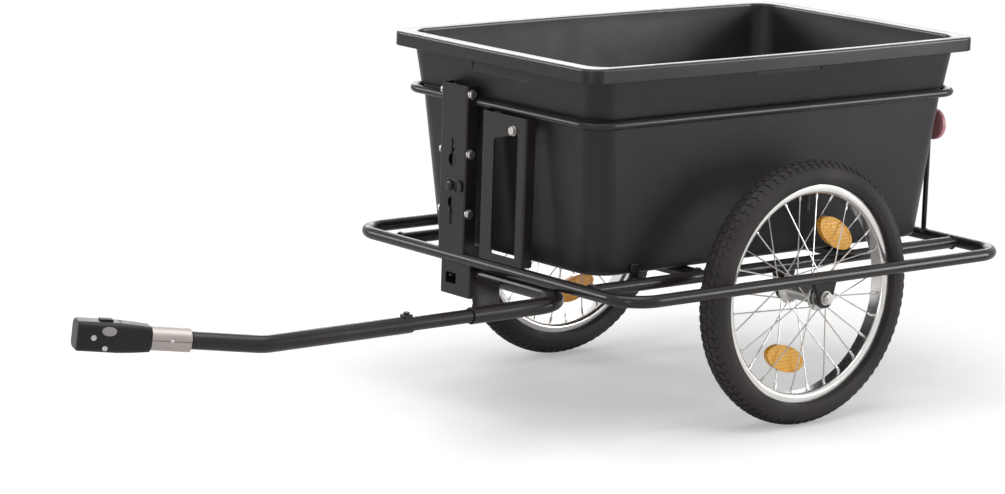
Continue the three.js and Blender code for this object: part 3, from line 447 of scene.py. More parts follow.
# Drop-out plates: flat steel plates hang from the guard and the inner rails, round at the foot, and
# carry the two ends of each axle.
plate_bevel, plate_lap = 0.0005, Vector((0, 0, 0.003))
foot_half, foot_radius, foot_steps = 0.011, 0.0075, 10


def select_edges(piece, chosen):
    open_mesh()
    bpy.ops.mesh.select_mode(type="EDGE")
    bpy.ops.mesh.select_all(action="DESELECT")
    close_mesh()
    for edge in piece.data.edges:
        edge.select = chosen(*(piece.data.vertices[index].co for index in edge.vertices))
    open_mesh()


for node in ("left_bracket_outer", "left_bracket_inner", "right_bracket_outer", "right_bracket_inner"):
    low, high, middle = box_of(node)
    plate = block(low, high + plate_lap)
    for corner in plate.data.vertices:
        if corner.co.z < middle.z:
            corner.co.x = middle.x + copysign(foot_half, corner.co.x - middle.x)
    select_edges(plate, lambda a, b: max(a.z, b.z) < middle.z and abs(a.x - b.x) < plate_bevel)
    bpy.ops.mesh.bevel(offset=foot_radius, segments=foot_steps)
    select_all()
    bpy.ops.mesh.bevel(offset=plate_bevel, segments=2)
    close_mesh()
    settle(plate, node + "_plate", "frame", gloss_black, node)

# Welds: a small rippled bead of steel runs round each joint of two tubes. It was laid before the
# frame was coated, so it has the same gloss black.
bead, bead_sides, bead_steps = 0.0022, 8, 48
bead_ripple, ripple_turn = 0.0004, 1.7


def weld(place, heading, radius):
    turn = heading.to_track_quat("Z", "Y").to_euler()
    piece = new_piece(
        bpy.ops.mesh.primitive_torus_add, location=place, rotation=turn, major_radius=radius,
        minor_radius=bead, major_segments=bead_steps, minor_segments=bead_sides)
    bpy.ops.object.transform_apply()
    for index, point in enumerate(piece.data.vertices):
        outward = (point.co - Vector(place)).normalized()
        point.co += outward * bead_ripple * sin(index * ripple_turn)
    return piece


beads = []
for side_name in ("left", "right"):
    node = side_name + "_inner_rail"
    low, high, middle = box_of(node)
    beads += [weld((x, *rail_lines[node]), ahead, rail_radius) for x in (low.x + bead, high.x - bead)]
    low, high, middle = box_of(side_name + "_rear_post")
    beads += [weld((middle.x, middle.y, z), up, (high.x - low.x) / 2) for z in (low.z, high.z)]
for node in ("front_cross_tube", "rear_cross_tube"):
    low, high, middle = box_of(node)
    beads += [weld((middle.x, y, middle.z), leftward, rail_radius) for y in (low.y + bead, high.y - bead)]
settle(joined(*beads), "frame_welds", "frame", gloss_black)

# Tub: one moulded shell of dark grain-finished plastic. It tapers to its foot, steps out above the
# hoop and ends in a wide turned-down lip, with a shallow grip in each side of the band.
wall = 0.0035
foot_round = 0.008
foot_corner, band_corner, lip_corner, corner_steps = 0.046, 0.034, 0.024, 10
step_out, step_round, step_rise = 0.002, 0.001, 0.003
flare_out = 0.008
lip_height, lip_round = 0.021, 0.004
hoop_play = Vector((0.0055, 0.002, 0))
side_bow = Vector((0.002, 0.008, 0))
tub_foot_half = Vector((0.331, 0.194, 0))
bow_cuts = (-0.75, -0.5, -0.25, 0, 0.25, 0.5, 0.75)
straight_share = (0.86, 0.76)  # of the band's half length and half width, without its corners
grip_half, grip_drop, grip_height, grip_depth = 0.063, 0.024, 0.017, 0.0016
grip_out, grip_round = 0.02, 0.0012

tub_low, tub_high, tub_middle = box_of("tub")
hoop_low, hoop_high, hoop_middle = box_of("hoop")
hoop_radius = (hoop_high.z - hoop_low.z) / 2
hoop_z = hoop_middle.z
waist = (hoop_high - hoop_low) / 2 - Vector((2 * hoop_radius, 2 * hoop_radius, 0)) - hoop_play
band = waist + Vector((step_out + flare_out, step_out + flare_out, 0))
lip = (tub_high - tub_low) / 2 - side_bow
foot_z, top_z = tub_low.z, tub_high.z
ledge_z = top_z - lip_round - wall
skirt_z = top_z - lip_height

# Each ring is given by its half size with its corner radius, how far it is inset, and its height.
foot_ring, waist_ring = (tub_foot_half, foot_corner), (waist, band_corner)
band_ring, lip_ring = (band, band_corner), (lip, lip_corner)
tub_rings = [
    (foot_ring, foot_round * 0.3, foot_z + foot_round * 0.3),
    (foot_ring, foot_round * 0.08, foot_z + foot_round * 0.65),
    (foot_ring, 0, foot_z + foot_round),
    (waist_ring, 0, hoop_z),
    (waist_ring, -step_out * 0.4, hoop_z + hoop_radius * 0.8),
    (waist_ring, -step_out, hoop_high.z),
    (waist_ring, -step_out - step_round, hoop_high.z + step_rise),
    (band_ring, 0, skirt_z),
    (band_ring, 0, ledge_z),
    (lip_ring, wall, ledge_z),
    (lip_ring, wall, skirt_z),
    (lip_ring, wall * 0.5, skirt_z - wall * 0.2),
    (lip_ring, 0, skirt_z),
    (lip_ring, 0, top_z - lip_round),
    (lip_ring, lip_round * 0.1, top_z - lip_round * 0.6),
    (lip_ring, lip_round * 0.35, top_z - lip_round * 0.22),
    (lip_ring, lip_round, top_z),
    (band_ring, wall - lip_round, top_z),
    (band_ring, wall - lip_round * 0.4, top_z - lip_round * 0.2),
    (band_ring, wall, top_z - lip_round),
    (band_ring, wall, skirt_z),
    (waist_ring, wall - step_out, hoop_high.z),
    (waist_ring, wall, hoop_z),
    (foot_ring, wall, foot_z + foot_round),
    (foot_ring, wall + foot_round * 0.3, foot_z + wall + foot_round * 0.3),
    (foot_ring, wall + foot_round, foot_z + wall),
]


def start_sheet(place, half_length, half_width, corner, steps, turn=(0, 0, 0)):
    piece = new_piece(bpy.ops.mesh.primitive_plane_add, size=2, location=place, rotation=turn)
    piece.scale = (half_length, half_width, 1)
    bpy.ops.object.transform_apply()
    open_mesh()
    select_all()
    bpy.ops.mesh.bevel(offset=corner, segments=steps, affect="VERTICES")
    select_all()
    return piece


half = tub_foot_half - Vector((foot_round, foot_round, 0))
corner = foot_corner - foot_round
tub = start_sheet((tub_middle.x, 0, foot_z), half.x, half.y, corner, corner_steps)
for (ring_half, ring_corner), inset, ring_z in tub_rings:
    extend((0, 0, step_round))
    next_half = ring_half - Vector((inset, inset, 0))
    next_corner = ring_corner - max(0, inset)
    close_mesh()
    for point in tub.data.vertices:
        if point.select:
            x, y = point.co.x - tub_middle.x, point.co.y
            turn_x = (abs(x) - half.x) / corner + 1
            turn_y = (abs(y) - half.y) / corner + 1
            x = copysign(next_half.x + next_corner * (turn_x - 1), x)
            y = copysign(next_half.y + next_corner * (turn_y - 1), y)
            point.co = (tub_middle.x + x, y, ring_z)
    open_mesh()
    half, corner = next_half, next_corner
for share in bow_cuts:
    cut_x = tub_middle.x + share * band.x * straight_share[0]
    for place, heading in (((cut_x, 0, 0), ahead), ((0, share * band.y * straight_share[1], 0), leftward)):
        select_all()
        bpy.ops.mesh.bisect(plane_co=place, plane_no=heading)
close_up()
for point in tub.data.vertices:
    rise = min(1, max(0, (point.co.z - hoop_high.z) / (skirt_z - hoop_high.z)))
    x = (point.co.x - tub_middle.x) / (band.x - band_corner)
    y = point.co.y / (band.y - band_corner)
    if abs(x) < 1 and abs(y) > 1:
        point.co.y += copysign(side_bow.y * rise * (1 - x * x), y)
    if abs(y) < 1 and abs(x) > 1:
        point.co.x += copysign(side_bow.x * rise * (1 - y * y), x)


def cut_away(piece, *cutters):
    for cutter in cutters:
        apply_modifier(piece, "BOOLEAN", operation="DIFFERENCE", solver="EXACT", object=cutter)
        bpy.data.objects.remove(cutter)
    return piece


grip_top = top_z - grip_drop
grip_foot = grip_top - grip_height
for direction in (1, -1):
    bowed = band.y + side_bow.y
    near, far = sorted((direction * (bowed - 2 * grip_depth), direction * (bowed + grip_out)))
    cut_away(tub, rounded_block(
        (tub_middle.x - grip_half, near, grip_foot), (tub_middle.x + grip_half, far, grip_top), grip_round))
    near, far = sorted(tub_middle.x + direction * (band.x + reach) for reach in (-grip_depth, grip_out))
    cut_away(tub, rounded_block((near, -grip_half, grip_foot), (far, grip_half, grip_top), grip_round))
tub_plastic = new_finish(
    "tub_plastic", "grained_tub_plastic", (0.018, 0.0168, 0.0205), (0.055, 0.051, 0.056), dust_amount=0.3,
    fineness=1100, depth=0.00022, smoothest=0.28, roughest=0.38, gloss=0.3)
# The top of the lip is smoother and glossier, and its colour is painted lighter as a painted highlight along
# its top edge.
smooth_lip_painted_highlight = new_finish(
    "tub_plastic", "smooth_lip_painted_highlight_plastic", (0.026, 0.024, 0.026), (0.07, 0.066, 0.066), dust_amount=0.3,
    fineness=500, depth=0.00005, smoothest=0.2, roughest=0.3, gloss=0.55)


def second_finish(piece, finish, wanted):
    piece.data.materials.append(finish[1])
    for face in piece.data.polygons:
        if wanted(face.center):
            face.material_index = 1


settle(tub, "tub_shell", "tub", tub_plastic, "tub", crease=30)
# Faces on the top of the lip get the smoother finish with the painted highlight.
second_finish(tub, smooth_lip_painted_highlight, lambda place: place.z > top_z - lip_round)

# Tyres: black rubber with smooth side walls, two thin ribs and rows of small blocks round the crown.
# The beads stand in the rim. The right wheel is the left one, turned half round.
tyre_low, tyre_high, left_centre = box_of("left_tyre")
right_centre = box_of("right_tyre")[2]
tyre_radius = (tyre_high.z - tyre_low.z) / 2
crown_radius, crown_points = 0.0235, 26
crown_centre = tyre_radius - crown_radius
crown_start = -0.4  # radians below the level of the crown's centre, where the side wall meets the rim
wall_rib_step, wall_rib = 3, 0.0006
tread_from = 0.62  # the sine of the angle at which the tread begins
rim_radius, rim_inner, rim_half = 0.161, 0.147, 0.014
tyre_bead_half = 0.0111
tyre_bead_top, tyre_bead_foot = rim_radius + 0.0004, rim_radius - 0.006
wheel_sides = 128
block_height, block_bevel, block_skew, blocks_round = 0.0016, 0.0004, 0.35, 84
block_rows = ((0, 0.0052, 0.0038), (0.0090, 0.0042, 0.0034), (-0.0090, 0.0042, 0.0034),
              (0.0160, 0.0034, 0.0028), (-0.0160, 0.0034, 0.0028))


def duplicate(piece, change):
    copy = piece.copy()
    copy.data = piece.data.copy()
    scene.collection.objects.link(copy)
    copy.data.transform(change)
    return copy


def copies_round(piece, centre, axis, count):
    to_centre, back = Matrix.Translation(-centre), Matrix.Translation(centre)
    return joined(piece, *(
        duplicate(piece, back @ Matrix.Rotation(2 * pi * index / count, 4, axis) @ to_centre)
        for index in range(1, count)))


def settle_on_both_wheels(piece, name, finish, *nodes):
    settle(piece, "left_" + name, "left_wheel", finish, *("left_" + node for node in nodes))
    turn = Matrix.Rotation(pi, 4, "Z")
    copy = duplicate(piece, Matrix.Translation(right_centre) @ turn @ Matrix.Translation(-left_centre))
    settle(copy, "right_" + name, "right_wheel", finish, *("right_" + node for node in nodes))


wall_profile = [(tyre_bead_foot, tyre_bead_half), (tyre_bead_top, tyre_bead_half)]
for step in range(crown_points + 1):
    angle = crown_start + (pi - 2 * crown_start) * step / crown_points
    radius = crown_radius - (block_height if sin(angle) > tread_from else 0)
    if step in (wall_rib_step, crown_points - wall_rib_step):
        radius += wall_rib
    wall_profile.append((crown_centre + radius * sin(angle), radius * cos(angle)))
wall_profile += [(tyre_bead_top, -tyre_bead_half), (tyre_bead_foot, -tyre_bead_half),
                 (tyre_bead_foot, 0), (tyre_bead_foot, tyre_bead_half)]
rows = [lathe(left_centre, leftward, wall_profile, wheel_sides, closed=True)]
for offset, half_long, half_wide in block_rows:
    size = Vector((half_long, half_wide, block_height))
    tread_block = rounded_block(-size, size, block_bevel, 1)
    lift_out = crown_centre + (crown_radius ** 2 - offset ** 2) ** 0.5 - block_height
    side = (offset > 0) - (offset < 0)
    lean = Matrix.Rotation(-offset / (crown_radius - block_height), 4, "X")
    skew = Matrix.Rotation(block_skew * side, 4, "Z")
    shift = Matrix.Rotation(pi / blocks_round * abs(side), 4, "Y")
    tread_block.data.transform(
        Matrix.Translation(left_centre) @ shift @ Matrix.Translation((0, offset, lift_out)) @ lean @ skew)
    rows.append(copies_round(tread_block, left_centre, "Y", blocks_round))
tyre_rubber = new_finish(
    "tyre_rubber", "tyre_rubber", (0.018, 0.0148, 0.0145), (0.075, 0.066, 0.06), dust_amount=0.4,
    fineness=700, depth=0.0002, smoothest=0.6, roughest=0.76, gloss=0.4)
settle_on_both_wheels(joined(*rows), "tyre_rubber", tyre_rubber, "tyre")

# Rims: a box-section hoop of bright aluminium with hooked edges. The inner tube lies round it in the
# tyre, and its valve sticks through the hoop with a small dust cap.
rim_base_half = 0.0084
rim_section = [
    (rim_inner, rim_base_half), (0.1483, 0.0116), (0.1512, 0.0136), (0.1530, rim_half), (0.1604, rim_half),
    (rim_radius, 0.0136), (0.1606, 0.0123), (0.1550, 0.0115), (0.1531, 0.0103)]
rim_profile = [(rim_inner, -rim_base_half), *rim_section]
rim_profile += [(radius, -place) for radius, place in reversed(rim_section)]
rim_alloy = new_finish(
    "rim_alloy", "bright_rim_alloy", (0.86, 0.85, 0.84), (0.62, 0.59, 0.56), dust_amount=0.35,
    fineness=600, depth=0.00003, smoothest=0.18, roughest=0.3, metallic=1.0)
settle_on_both_wheels(
    lathe(left_centre, leftward, rim_profile, wheel_sides, closed=True), "rim_hoop", rim_alloy, "rim")
inner_rubber = new_finish(
    "inner_rubber", "inner_tube_rubber", (0.018, 0.017, 0.017), (0.05, 0.045, 0.04), dust_amount=0.3,
    fineness=500, depth=0.0001, smoothest=0.5, roughest=0.62)
valve_reach = 0.026
cap_start, cap_shoulder = rim_inner - valve_reach * 0.52, rim_inner - valve_reach * 0.92
valve_tip = rim_inner - valve_reach
valve = lathe(left_centre, up, [
    (0.0032, rim_inner + 0.006), (0.0032, rim_inner - 0.004), (0.0026, rim_inner - 0.0045),
    (0.0026, rim_inner - valve_reach * 0.5), (0.0034, cap_start), (0.0034, cap_shoulder),
    (0.0028, valve_tip), (0.0003, valve_tip)], small_sides)
settle_on_both_wheels(valve, "valve", inner_rubber)


def coat_node(node, finish):
    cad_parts[node].data.materials.clear()
    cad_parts[node].data.materials.append(finish[1])


coat_node("left_inner_tube", inner_rubber)
coat_node("right_inner_tube", inner_rubber)

# Hubs and spokes: a turned steel hub with two flanges, and bright wire spokes that cross on their
# way from its flanges to the nipples in the rim.
hub_half = 0.034
smooth_sides = 64
flange_radius, flange_thickness, flange_inset = 0.021, 0.003, 0.0018
barrel_radius = 0.0125
spoke_radius, spoke_sides = 0.0010, 10
spokes_per_side, spoke_lead = 14, 2
spoke_root, spoke_tip = flange_radius - 0.0028, rim_inner + 0.0008
head_radius, head_thickness, head_sides = 0.0018, 0.0009, 12
nipple_profile = [(0.0013, -0.001), (0.0021, -0.0008), (0.0021, 0.010), (0.0014, 0.011)]
bright_wire = new_finish(
    "zinc_steel", "bright_wire", (0.72, 0.71, 0.70), (0.45, 0.43, 0.40), dust_amount=0.25,
    fineness=900, depth=0.00002, smoothest=0.2, roughest=0.3, metallic=1.0)
zinc_plate = new_finish(
    "zinc_steel", "zinc_plate", (0.66, 0.65, 0.64), (0.42, 0.39, 0.36), dust_amount=0.35,
    fineness=260, depth=0.00005, smoothest=0.24, roughest=0.4, metallic=1.0)
hub_end = [  # radius, distance from the hub's end
    (0.0075, 0.002), (0.0105, 0.002), (0.0112, 0), (0.0135, 0), (0.0140, 0.0015),
    (flange_radius - 0.001, flange_inset), (flange_radius, flange_inset + 0.0008),
    (flange_radius, flange_inset + flange_thickness),
    (flange_radius - 0.0008, flange_inset + flange_thickness + 0.0006),
    (0.0150, flange_inset + flange_thickness + 0.0037), (barrel_radius, 0.011)]
hub_profile = [(radius, inset - hub_half) for radius, inset in hub_end]
hub_profile += [(radius, hub_half - inset) for radius, inset in reversed(hub_end)]
hub = lathe(left_centre, leftward, hub_profile, smooth_sides)
wires = []
pitch = 2 * pi / spokes_per_side
for side in (-1, 1):
    for head in (-1, 1):
        tip_turn = pitch * ((0 if head < 0 else 1) + side / 4)
        root_turn = tip_turn - head * spoke_lead * pitch
        root_y = side * (hub_half - flange_inset - flange_thickness / 2)
        root_y += head * (flange_thickness / 2 + spoke_radius)
        root = left_centre + Vector((spoke_root * cos(root_turn), root_y, -spoke_root * sin(root_turn)))
        tip = left_centre + Vector((spoke_tip * cos(tip_turn), 0, -spoke_tip * sin(tip_turn)))
        hook = root - Vector((0, head * (flange_thickness + 2 * spoke_radius), 0))
        wires += [
            straight_tube(root, tip, spoke_radius, spoke_sides),
            straight_tube(root, hook, spoke_radius, spoke_sides),
            straight_tube(hook, hook - Vector((0, head * head_thickness, 0)), head_radius, head_sides),
            lathe(tip, root - tip, nipple_profile, head_sides)]
spokes = copies_round(joined(*wires), left_centre, "Y", spokes_per_side // 2)
settle_on_both_wheels(spokes, "spokes", bright_wire)
settle_on_both_wheels(hub, "hub", zinc_plate, "hub_and_spokes")

# Axles, bearings and nuts: a threaded steel axle through each hub, with a cone on each side, and a
# hexagon nut on a washer outside each drop-out plate.
axle_radius, centre_hole = 0.0048, 0.0005
screw_sides = 24
thread_pitch, thread_depth = 0.0012, 0.0003
cone_profile = [(0.0050, 0.0345), (0.0080, 0.0350), (0.0080, 0.0385), (0.0065, 0.0400), (0.0050, 0.0402)]
nut_corners, nut_chamfer = 0.0078 * 1.15, 0.0008
washer_hole, washer_radius, washer_thickness = 0.0052, 0.0105, 0.0012


def hex_head(foot, heading, across_corners, height, chamfer=0.0007, segments=3):
    piece = start_ring(foot, heading, across_corners, 6)
    bpy.ops.mesh.edge_face_add()
    extend(Vector(heading) * height)
    select_all()
    bpy.ops.mesh.bevel(offset=chamfer, segments=segments)
    close_up()
    return piece


for side_name, centre in (("left", left_centre), ("right", right_centre)):
    node = side_name + "_axle"
    low, high, middle = box_of(node)
    start, end = low.y - centre.y, high.y - centre.y
    profile = [(centre_hole, start)]
    place_y = low.y
    while place_y < high.y:
        crest = place_y - centre.y
        profile += [(axle_radius, crest), (axle_radius - thread_depth, crest + thread_pitch / 2)]
        place_y += thread_pitch
    profile[-1:] = [(axle_radius, end), (centre_hole, end)]
    pieces = [lathe(centre, leftward, profile, screw_sides)]
    for side in (-1, 1):
        cone = [(radius, side * along) for radius, along in cone_profile]
        pieces.append(lathe(centre, leftward, cone))
    settle(joined(*pieces), node + "_rod", "frame", zinc_plate, node)
    for where in ("outer", "inner"):
        node = side_name + "_nut_" + where
        low, high, middle = box_of(node)
        away = 1 if middle.y > centre.y else -1
        heading = (0, away, 0)
        foot = Vector((centre.x, low.y if away > 0 else high.y, centre.z))
        washer = lathe(foot, heading, [
            (washer_hole, 0), (washer_radius, 0), (washer_radius, washer_thickness),
            (washer_hole, washer_thickness)])
        nut = hex_head(
            foot + Vector(heading) * washer_thickness, heading, nut_corners,
            high.y - low.y - washer_thickness, nut_chamfer, 2)
        settle(joined(nut, washer), node + "_hex", "frame", zinc_plate, node)
        coat_node(side_name + "_bearing_" + where, zinc_plate)

# Spoke reflectors: oval blocks of clear amber plastic, moulded with prisms behind a raised border,
# are clipped between the two sides of spokes. The two wheels rest at different turns.
reflector_place = Vector((0.1, 0, 0))
reflector_edge, reflector_face, reflector_stretch = 0.019, 0.0047, 2
reflector_turns = {  # degrees from straight ahead
    "left": {"upper": 124, "lower": -70}, "right": {"upper": 86, "lower": -108}}
half_profile = [
    (reflector_edge, reflector_face - 0.0010), (reflector_edge - 0.0010, reflector_face),
    (reflector_edge - 0.0028, reflector_face), (reflector_edge - 0.0035, reflector_face - 0.0008)]
lens_profile = [(radius, -along) for radius, along in reversed(half_profile)] + half_profile
lens_profile.append((0.0004, reflector_face - 0.0002))
amber_lens = prism_finish(
    "amber_plastic", "amber_lens", (0.80, 0.25, 0.004), (1.0, 0.66, 0.07), cells=190, facet_depth=0.0006)
for side_name, centre in (("left", left_centre), ("right", right_centre)):
    for where, turn in reflector_turns[side_name].items():
        lens = lathe((0, 0, 0), leftward, lens_profile, fine_sides)
        lens.data.transform(
            Matrix.Translation(centre) @ Matrix.Rotation(-radians(turn), 4, "Y")
            @ Matrix.Translation(reflector_place) @ Matrix.Diagonal((1, 1, reflector_stretch, 1)))
        node = side_name + "_reflector_" + where
        settle(lens, node + "_lens", side_name + "_wheel", amber_lens, node, crease=25)

# Mast: an upright channel of folded sheet steel on the front crossbar, notched for the hoop, its inside
# painted darker and duller as painted shade. Two keyholes in its face take a basket's hooks.
sheet, fold_radius, fold_steps = 0.0025, 0.003, 6
play = 0.0003  # between pieces that touch
overrun = 0.01  # of a cutter past what it cuts
crisp = 0.0001  # the bevel of a cutter with sharp edges
mast_low, mast_high, mast_middle = box_of("mast")
guard_low, guard_high, guard_middle = box_of("guard_loop")
guard_radius = (guard_high.z - guard_low.z) / 2
crossbar = Vector((guard_high.x - guard_radius, 0, guard_middle.z))
hoop_front_x, hoop_notch = hoop_high.x - hoop_radius, 0.03
keyholes = ((0.143, 0.010, 0.031), (0.080, 0.009, -0.032))  # rise, radius and length of the slot
key_slot, key_round = 0.0075, 0.0012


def folded_channel(low, high):
    piece = block(low, high)
    open_mesh()
    bpy.ops.mesh.select_mode(type="FACE")
    bpy.ops.mesh.select_all(action="DESELECT")
    close_mesh()
    for face in piece.data.polygons:
        face.select = abs(face.normal.z) > 0.9 or face.normal.x < -0.9
    open_mesh()
    bpy.ops.mesh.delete(type="FACE")
    half_height, middle_x = (high.z - low.z) / 2, (low.x + high.x) / 2
    select_edges(piece, lambda a, b: abs(a.z - b.z) > half_height and a.x > middle_x)
    bpy.ops.mesh.bevel(offset=fold_radius, segments=fold_steps)
    close_mesh()
    return apply_modifier(piece, "SOLIDIFY", thickness=sheet, offset=-1)


def soften(piece, width=0.0004, segments=2, angle=40):
    return apply_modifier(
        piece, "BEVEL", width=width, segments=segments, limit_method="ANGLE", angle_limit=radians(angle))


def cross_cutter(x, z, radius, low_y, high_y):
    return straight_tube((x, low_y - overrun, z), (x, high_y + overrun, z), radius)


mast = folded_channel(mast_low, mast_high)
cutters = [
    cross_cutter(crossbar.x, crossbar.z, guard_radius + play, mast_low.y, mast_high.y),
    cross_cutter(hoop_front_x, hoop_z, hoop_radius + play, mast_low.y, mast_high.y),
    rounded_block(
        (hoop_front_x - hoop_notch, mast_low.y - overrun, hoop_z - hoop_radius - play),
        (hoop_front_x, mast_high.y + overrun, hoop_z + hoop_radius + play), crisp, 1),
]
behind_x, before_x = mast_high.x - overrun, mast_high.x + overrun
for rise, radius, slot in keyholes:
    z = crossbar.z + rise
    cutters.append(straight_tube((behind_x, mast_middle.y, z), (before_x, mast_middle.y, z), radius))
    slot_low, slot_high = sorted((z, z + slot))
    cutters.append(rounded_block(
        (behind_x, mast_middle.y - key_slot / 2, slot_low),
        (before_x, mast_middle.y + key_slot / 2, slot_high), key_round, 2))
# Painted shade: the faces inside the folded channels get a darker, duller coat than the gloss black outside.
painted_shade_coat = new_finish(
    "black_paint", "painted_shade_inside_coat", (0.0045, 0.0038, 0.0038), (0.02, 0.017, 0.016), dust_amount=0.3,
    fineness=420, depth=0.0001, smoothest=0.55, roughest=0.7, gloss=0.12)


# Settles a folded piece, and gives the faces inside its channel the painted shade coat.
def settle_folded(piece, name, node, low, high):
    skin = sheet / 2
    settle(piece, name, "frame", gloss_black, node, crease=30)
    second_finish(piece, painted_shade_coat, lambda place: (
        low.y + skin < place.y < high.y - skin and place.x < high.x - skin))


settle_folded(soften(cut_away(mast, *cutters)), "mast_channel", "mast", mast_low, mast_high)

# Mast bolts: three zinc-plated hexagon bolts go across the mast and hold its two sides. Each has a
# washer under its head, and a nut with a washer on the far side.
shank_radius, shank_insets = 0.0039, (0.001, 0.002)
washer_sides = 28
corner_share = 0.92  # of the solid's width, across the head's corners
bolt_washer_face = 0.0011
bolt_washer = [(0.004, 0.0001), (0.0072, 0.0001), (0.0072, bolt_washer_face), (0.004, bolt_washer_face)]


def headed_end(foot, heading, corners, reach):
    washer = lathe(foot, heading, bolt_washer, washer_sides)
    face = Vector(heading) * bolt_washer_face
    return [washer, hex_head(foot + face, heading, corners, reach - bolt_washer_face)]


for number in (1, 2, 3):
    node = "mast_bolt_" + str(number)
    low, high, middle = box_of(node)
    corners = (high.z - low.z) / 2 * corner_share
    pieces = [straight_tube(
        (middle.x, low.y + shank_insets[0], middle.z), (middle.x, high.y - shank_insets[1], middle.z),
        shank_radius, small_sides)]
    for away, face, end in ((1, mast_high.y, high.y), (-1, mast_low.y, low.y)):
        pieces += headed_end(Vector((middle.x, face, middle.z)), (0, away, 0), corners, abs(end - face))
    settle(joined(*pieces), node + "_set", "frame", zinc_plate, node)

# Mast latch: a small plate with round ends turns on a rivet just over the lower keyhole and keeps
# the hook in it.
latch_thickness, latch_bevel = 0.003, 0.0006
rivet_profile = [(0.0070, -0.002), (0.0070, 0.0022), (0.0062, 0.0036), (0.0040, 0.0046), (0.0008, 0.0049)]
tail_profile = [(0.003, -0.005), (0.003, 0), (0.0058, 0.0002), (0.0058, 0.002), (0.003, 0.003),
                (0.0005, 0.003)]
latch_low, latch_high, latch_middle = box_of("mast_latch")
latch_half, latch_z = (latch_high.z - latch_low.z) / 2, latch_middle.z
latch_back = mast_high.x + play
latch_face = latch_back + latch_thickness
tip_y = latch_high.y - latch_half
pieces = [rounded_block(
    (latch_back, latch_low.y, latch_low.z), (latch_face, tip_y, latch_high.z), latch_bevel, 2)]
for end_y in (mast_middle.y, tip_y):
    pieces.append(straight_tube((latch_back, end_y, latch_z), (latch_face, end_y, latch_z), latch_half))
pieces.append(lathe((latch_face, mast_middle.y, latch_z), ahead, rivet_profile))
pieces.append(lathe((mast_high.x - sheet - play, mast_middle.y, latch_z), -ahead, tail_profile, screw_sides))
settle(joined(*pieces), "mast_latch_plate", "mast_latch", gloss_black, "mast_latch")

# Front post: a wide folded channel with a tall window, between the crossbar and the hoop. A bolt
# with a washer and a nut goes through it near its head.
strip_right, strip_left = 0.027, 0.018
sill, head_right, head_left = 0.011, 0.037, 0.024
window_round = 0.002
post_low, post_high, post_middle = box_of("front_post")
post = folded_channel(post_low - up * play, post_high + up * play)
window_low, window_high = post_low.y + strip_right, post_high.y - strip_left
window = rounded_block(
    (post_high.x - overrun, window_low, post_low.z + sill),
    (post_high.x + overrun, window_high, post_high.z - head_right), window_round)
for corner in window.data.vertices:
    if corner.co.z > post_middle.z:
        share = (corner.co.y - window_low) / (window_high - window_low)
        corner.co.z += share * (head_right - head_left)
settle_folded(soften(cut_away(post, window)), "front_post_channel", "front_post", post_low, post_high)
low, high, middle = box_of("front_post_bolt")
corners = (high.z - low.z) / 2 * corner_share
face, back = (Vector((x, middle.y, middle.z)) for x in (post_high.x, post_high.x - sheet))
pieces = headed_end(face, ahead, corners, high.x - face.x)
pieces.append(straight_tube(
    (low.x + shank_insets[0], middle.y, middle.z), (high.x - shank_insets[1], middle.y, middle.z),
    shank_radius, small_sides))
pieces.append(hex_head(back, -ahead, corners, back.x - low.x))
settle(joined(*pieces), "front_post_bolt_set", "frame", zinc_plate, "front_post_bolt")

# Tow box: a short box of folded sheet under the front crossbar, open below. The tow bar plugs into
# its left side, and a strap can be hooked in the hole in its face.
box_round, hollow_round, hook_round = 0.0022, 0.0012, 0.0015
weld_play = 0.0002
hook_width, hook_height, hook_inset, hook_drop = 0.024, 0.016, 0.012, 0.014
box_low, box_high, box_middle = box_of("tow_box")
rear_low, rear_high, rear_middle = box_of("tow_rear_tube")
tow_radius, tow_z = (rear_high.z - rear_low.z) / 2, rear_middle.z
tow_x, tow_y = rear_low.x + tow_radius, rear_high.y - tow_radius
hook_top = crossbar.z - guard_radius - play - hook_drop
hook_y = box_low.y + hook_inset
hollow_low = box_low + Vector((sheet, sheet, -overrun))
hollow_high = box_high + Vector((-sheet, -sheet, overrun))
cutters = [
    rounded_block(hollow_low, hollow_high, hollow_round),
    cross_cutter(crossbar.x, crossbar.z, guard_radius + weld_play, box_low.y, box_high.y),
    cross_cutter(tow_x, tow_z, tow_radius + play, box_low.y, box_high.y),
    rounded_block(
        (box_high.x - overrun, hook_y, hook_top - hook_height),
        (box_high.x + overrun, hook_y + hook_width, hook_top), hook_round),
]
box = cut_away(rounded_block(box_low, box_high, box_round, 4), *cutters)
settle_folded(soften(box), "tow_box_shell", "tow_box", box_low, box_high)

# Clamp screw: a fluted black knob on a short stud behind the tow box, with its nut welded there. It
# presses on the tow bar's cross run.
knob_radius, knob_length, knob_bevel = 0.012, 0.013, 0.0005
stud_inset = 0.002
flutes, flute_radius, flute_place = 6, 0.003, knob_radius + 0.0008
flute_overruns = (0.005, 0.003)
satin_black = new_finish(
    "black_plastic", "satin_black_plastic", (0.009, 0.0072, 0.0078), (0.045, 0.039, 0.038), dust_amount=0.3,
    fineness=900, depth=0.0001, smoothest=0.3, roughest=0.42, gloss=0.3)
screw_low, screw_high = box_of("clamp_screw")[:2]
screw_y = box_middle.y
stud = straight_tube(
    (screw_low.x + stud_inset, screw_y, tow_z), (screw_high.x, screw_y, tow_z), shank_radius, small_sides)
knob = lathe((screw_low.x, screw_y, tow_z), ahead, [
    (0.0095, 0), (0.0114, 0.0006), (knob_radius, 0.002), (knob_radius, knob_length - 0.0025),
    (0.0108, knob_length - 0.0008), (0.0075, knob_length)], fine_sides)
for index in range(flutes):
    angle = 2 * pi * index / flutes
    y, z = screw_y + flute_place * cos(angle), tow_z + flute_place * sin(angle)
    cut_away(knob, straight_tube(
        (screw_low.x - flute_overruns[0], y, z), (screw_low.x + knob_length + flute_overruns[1], y, z),
        flute_radius, small_sides))
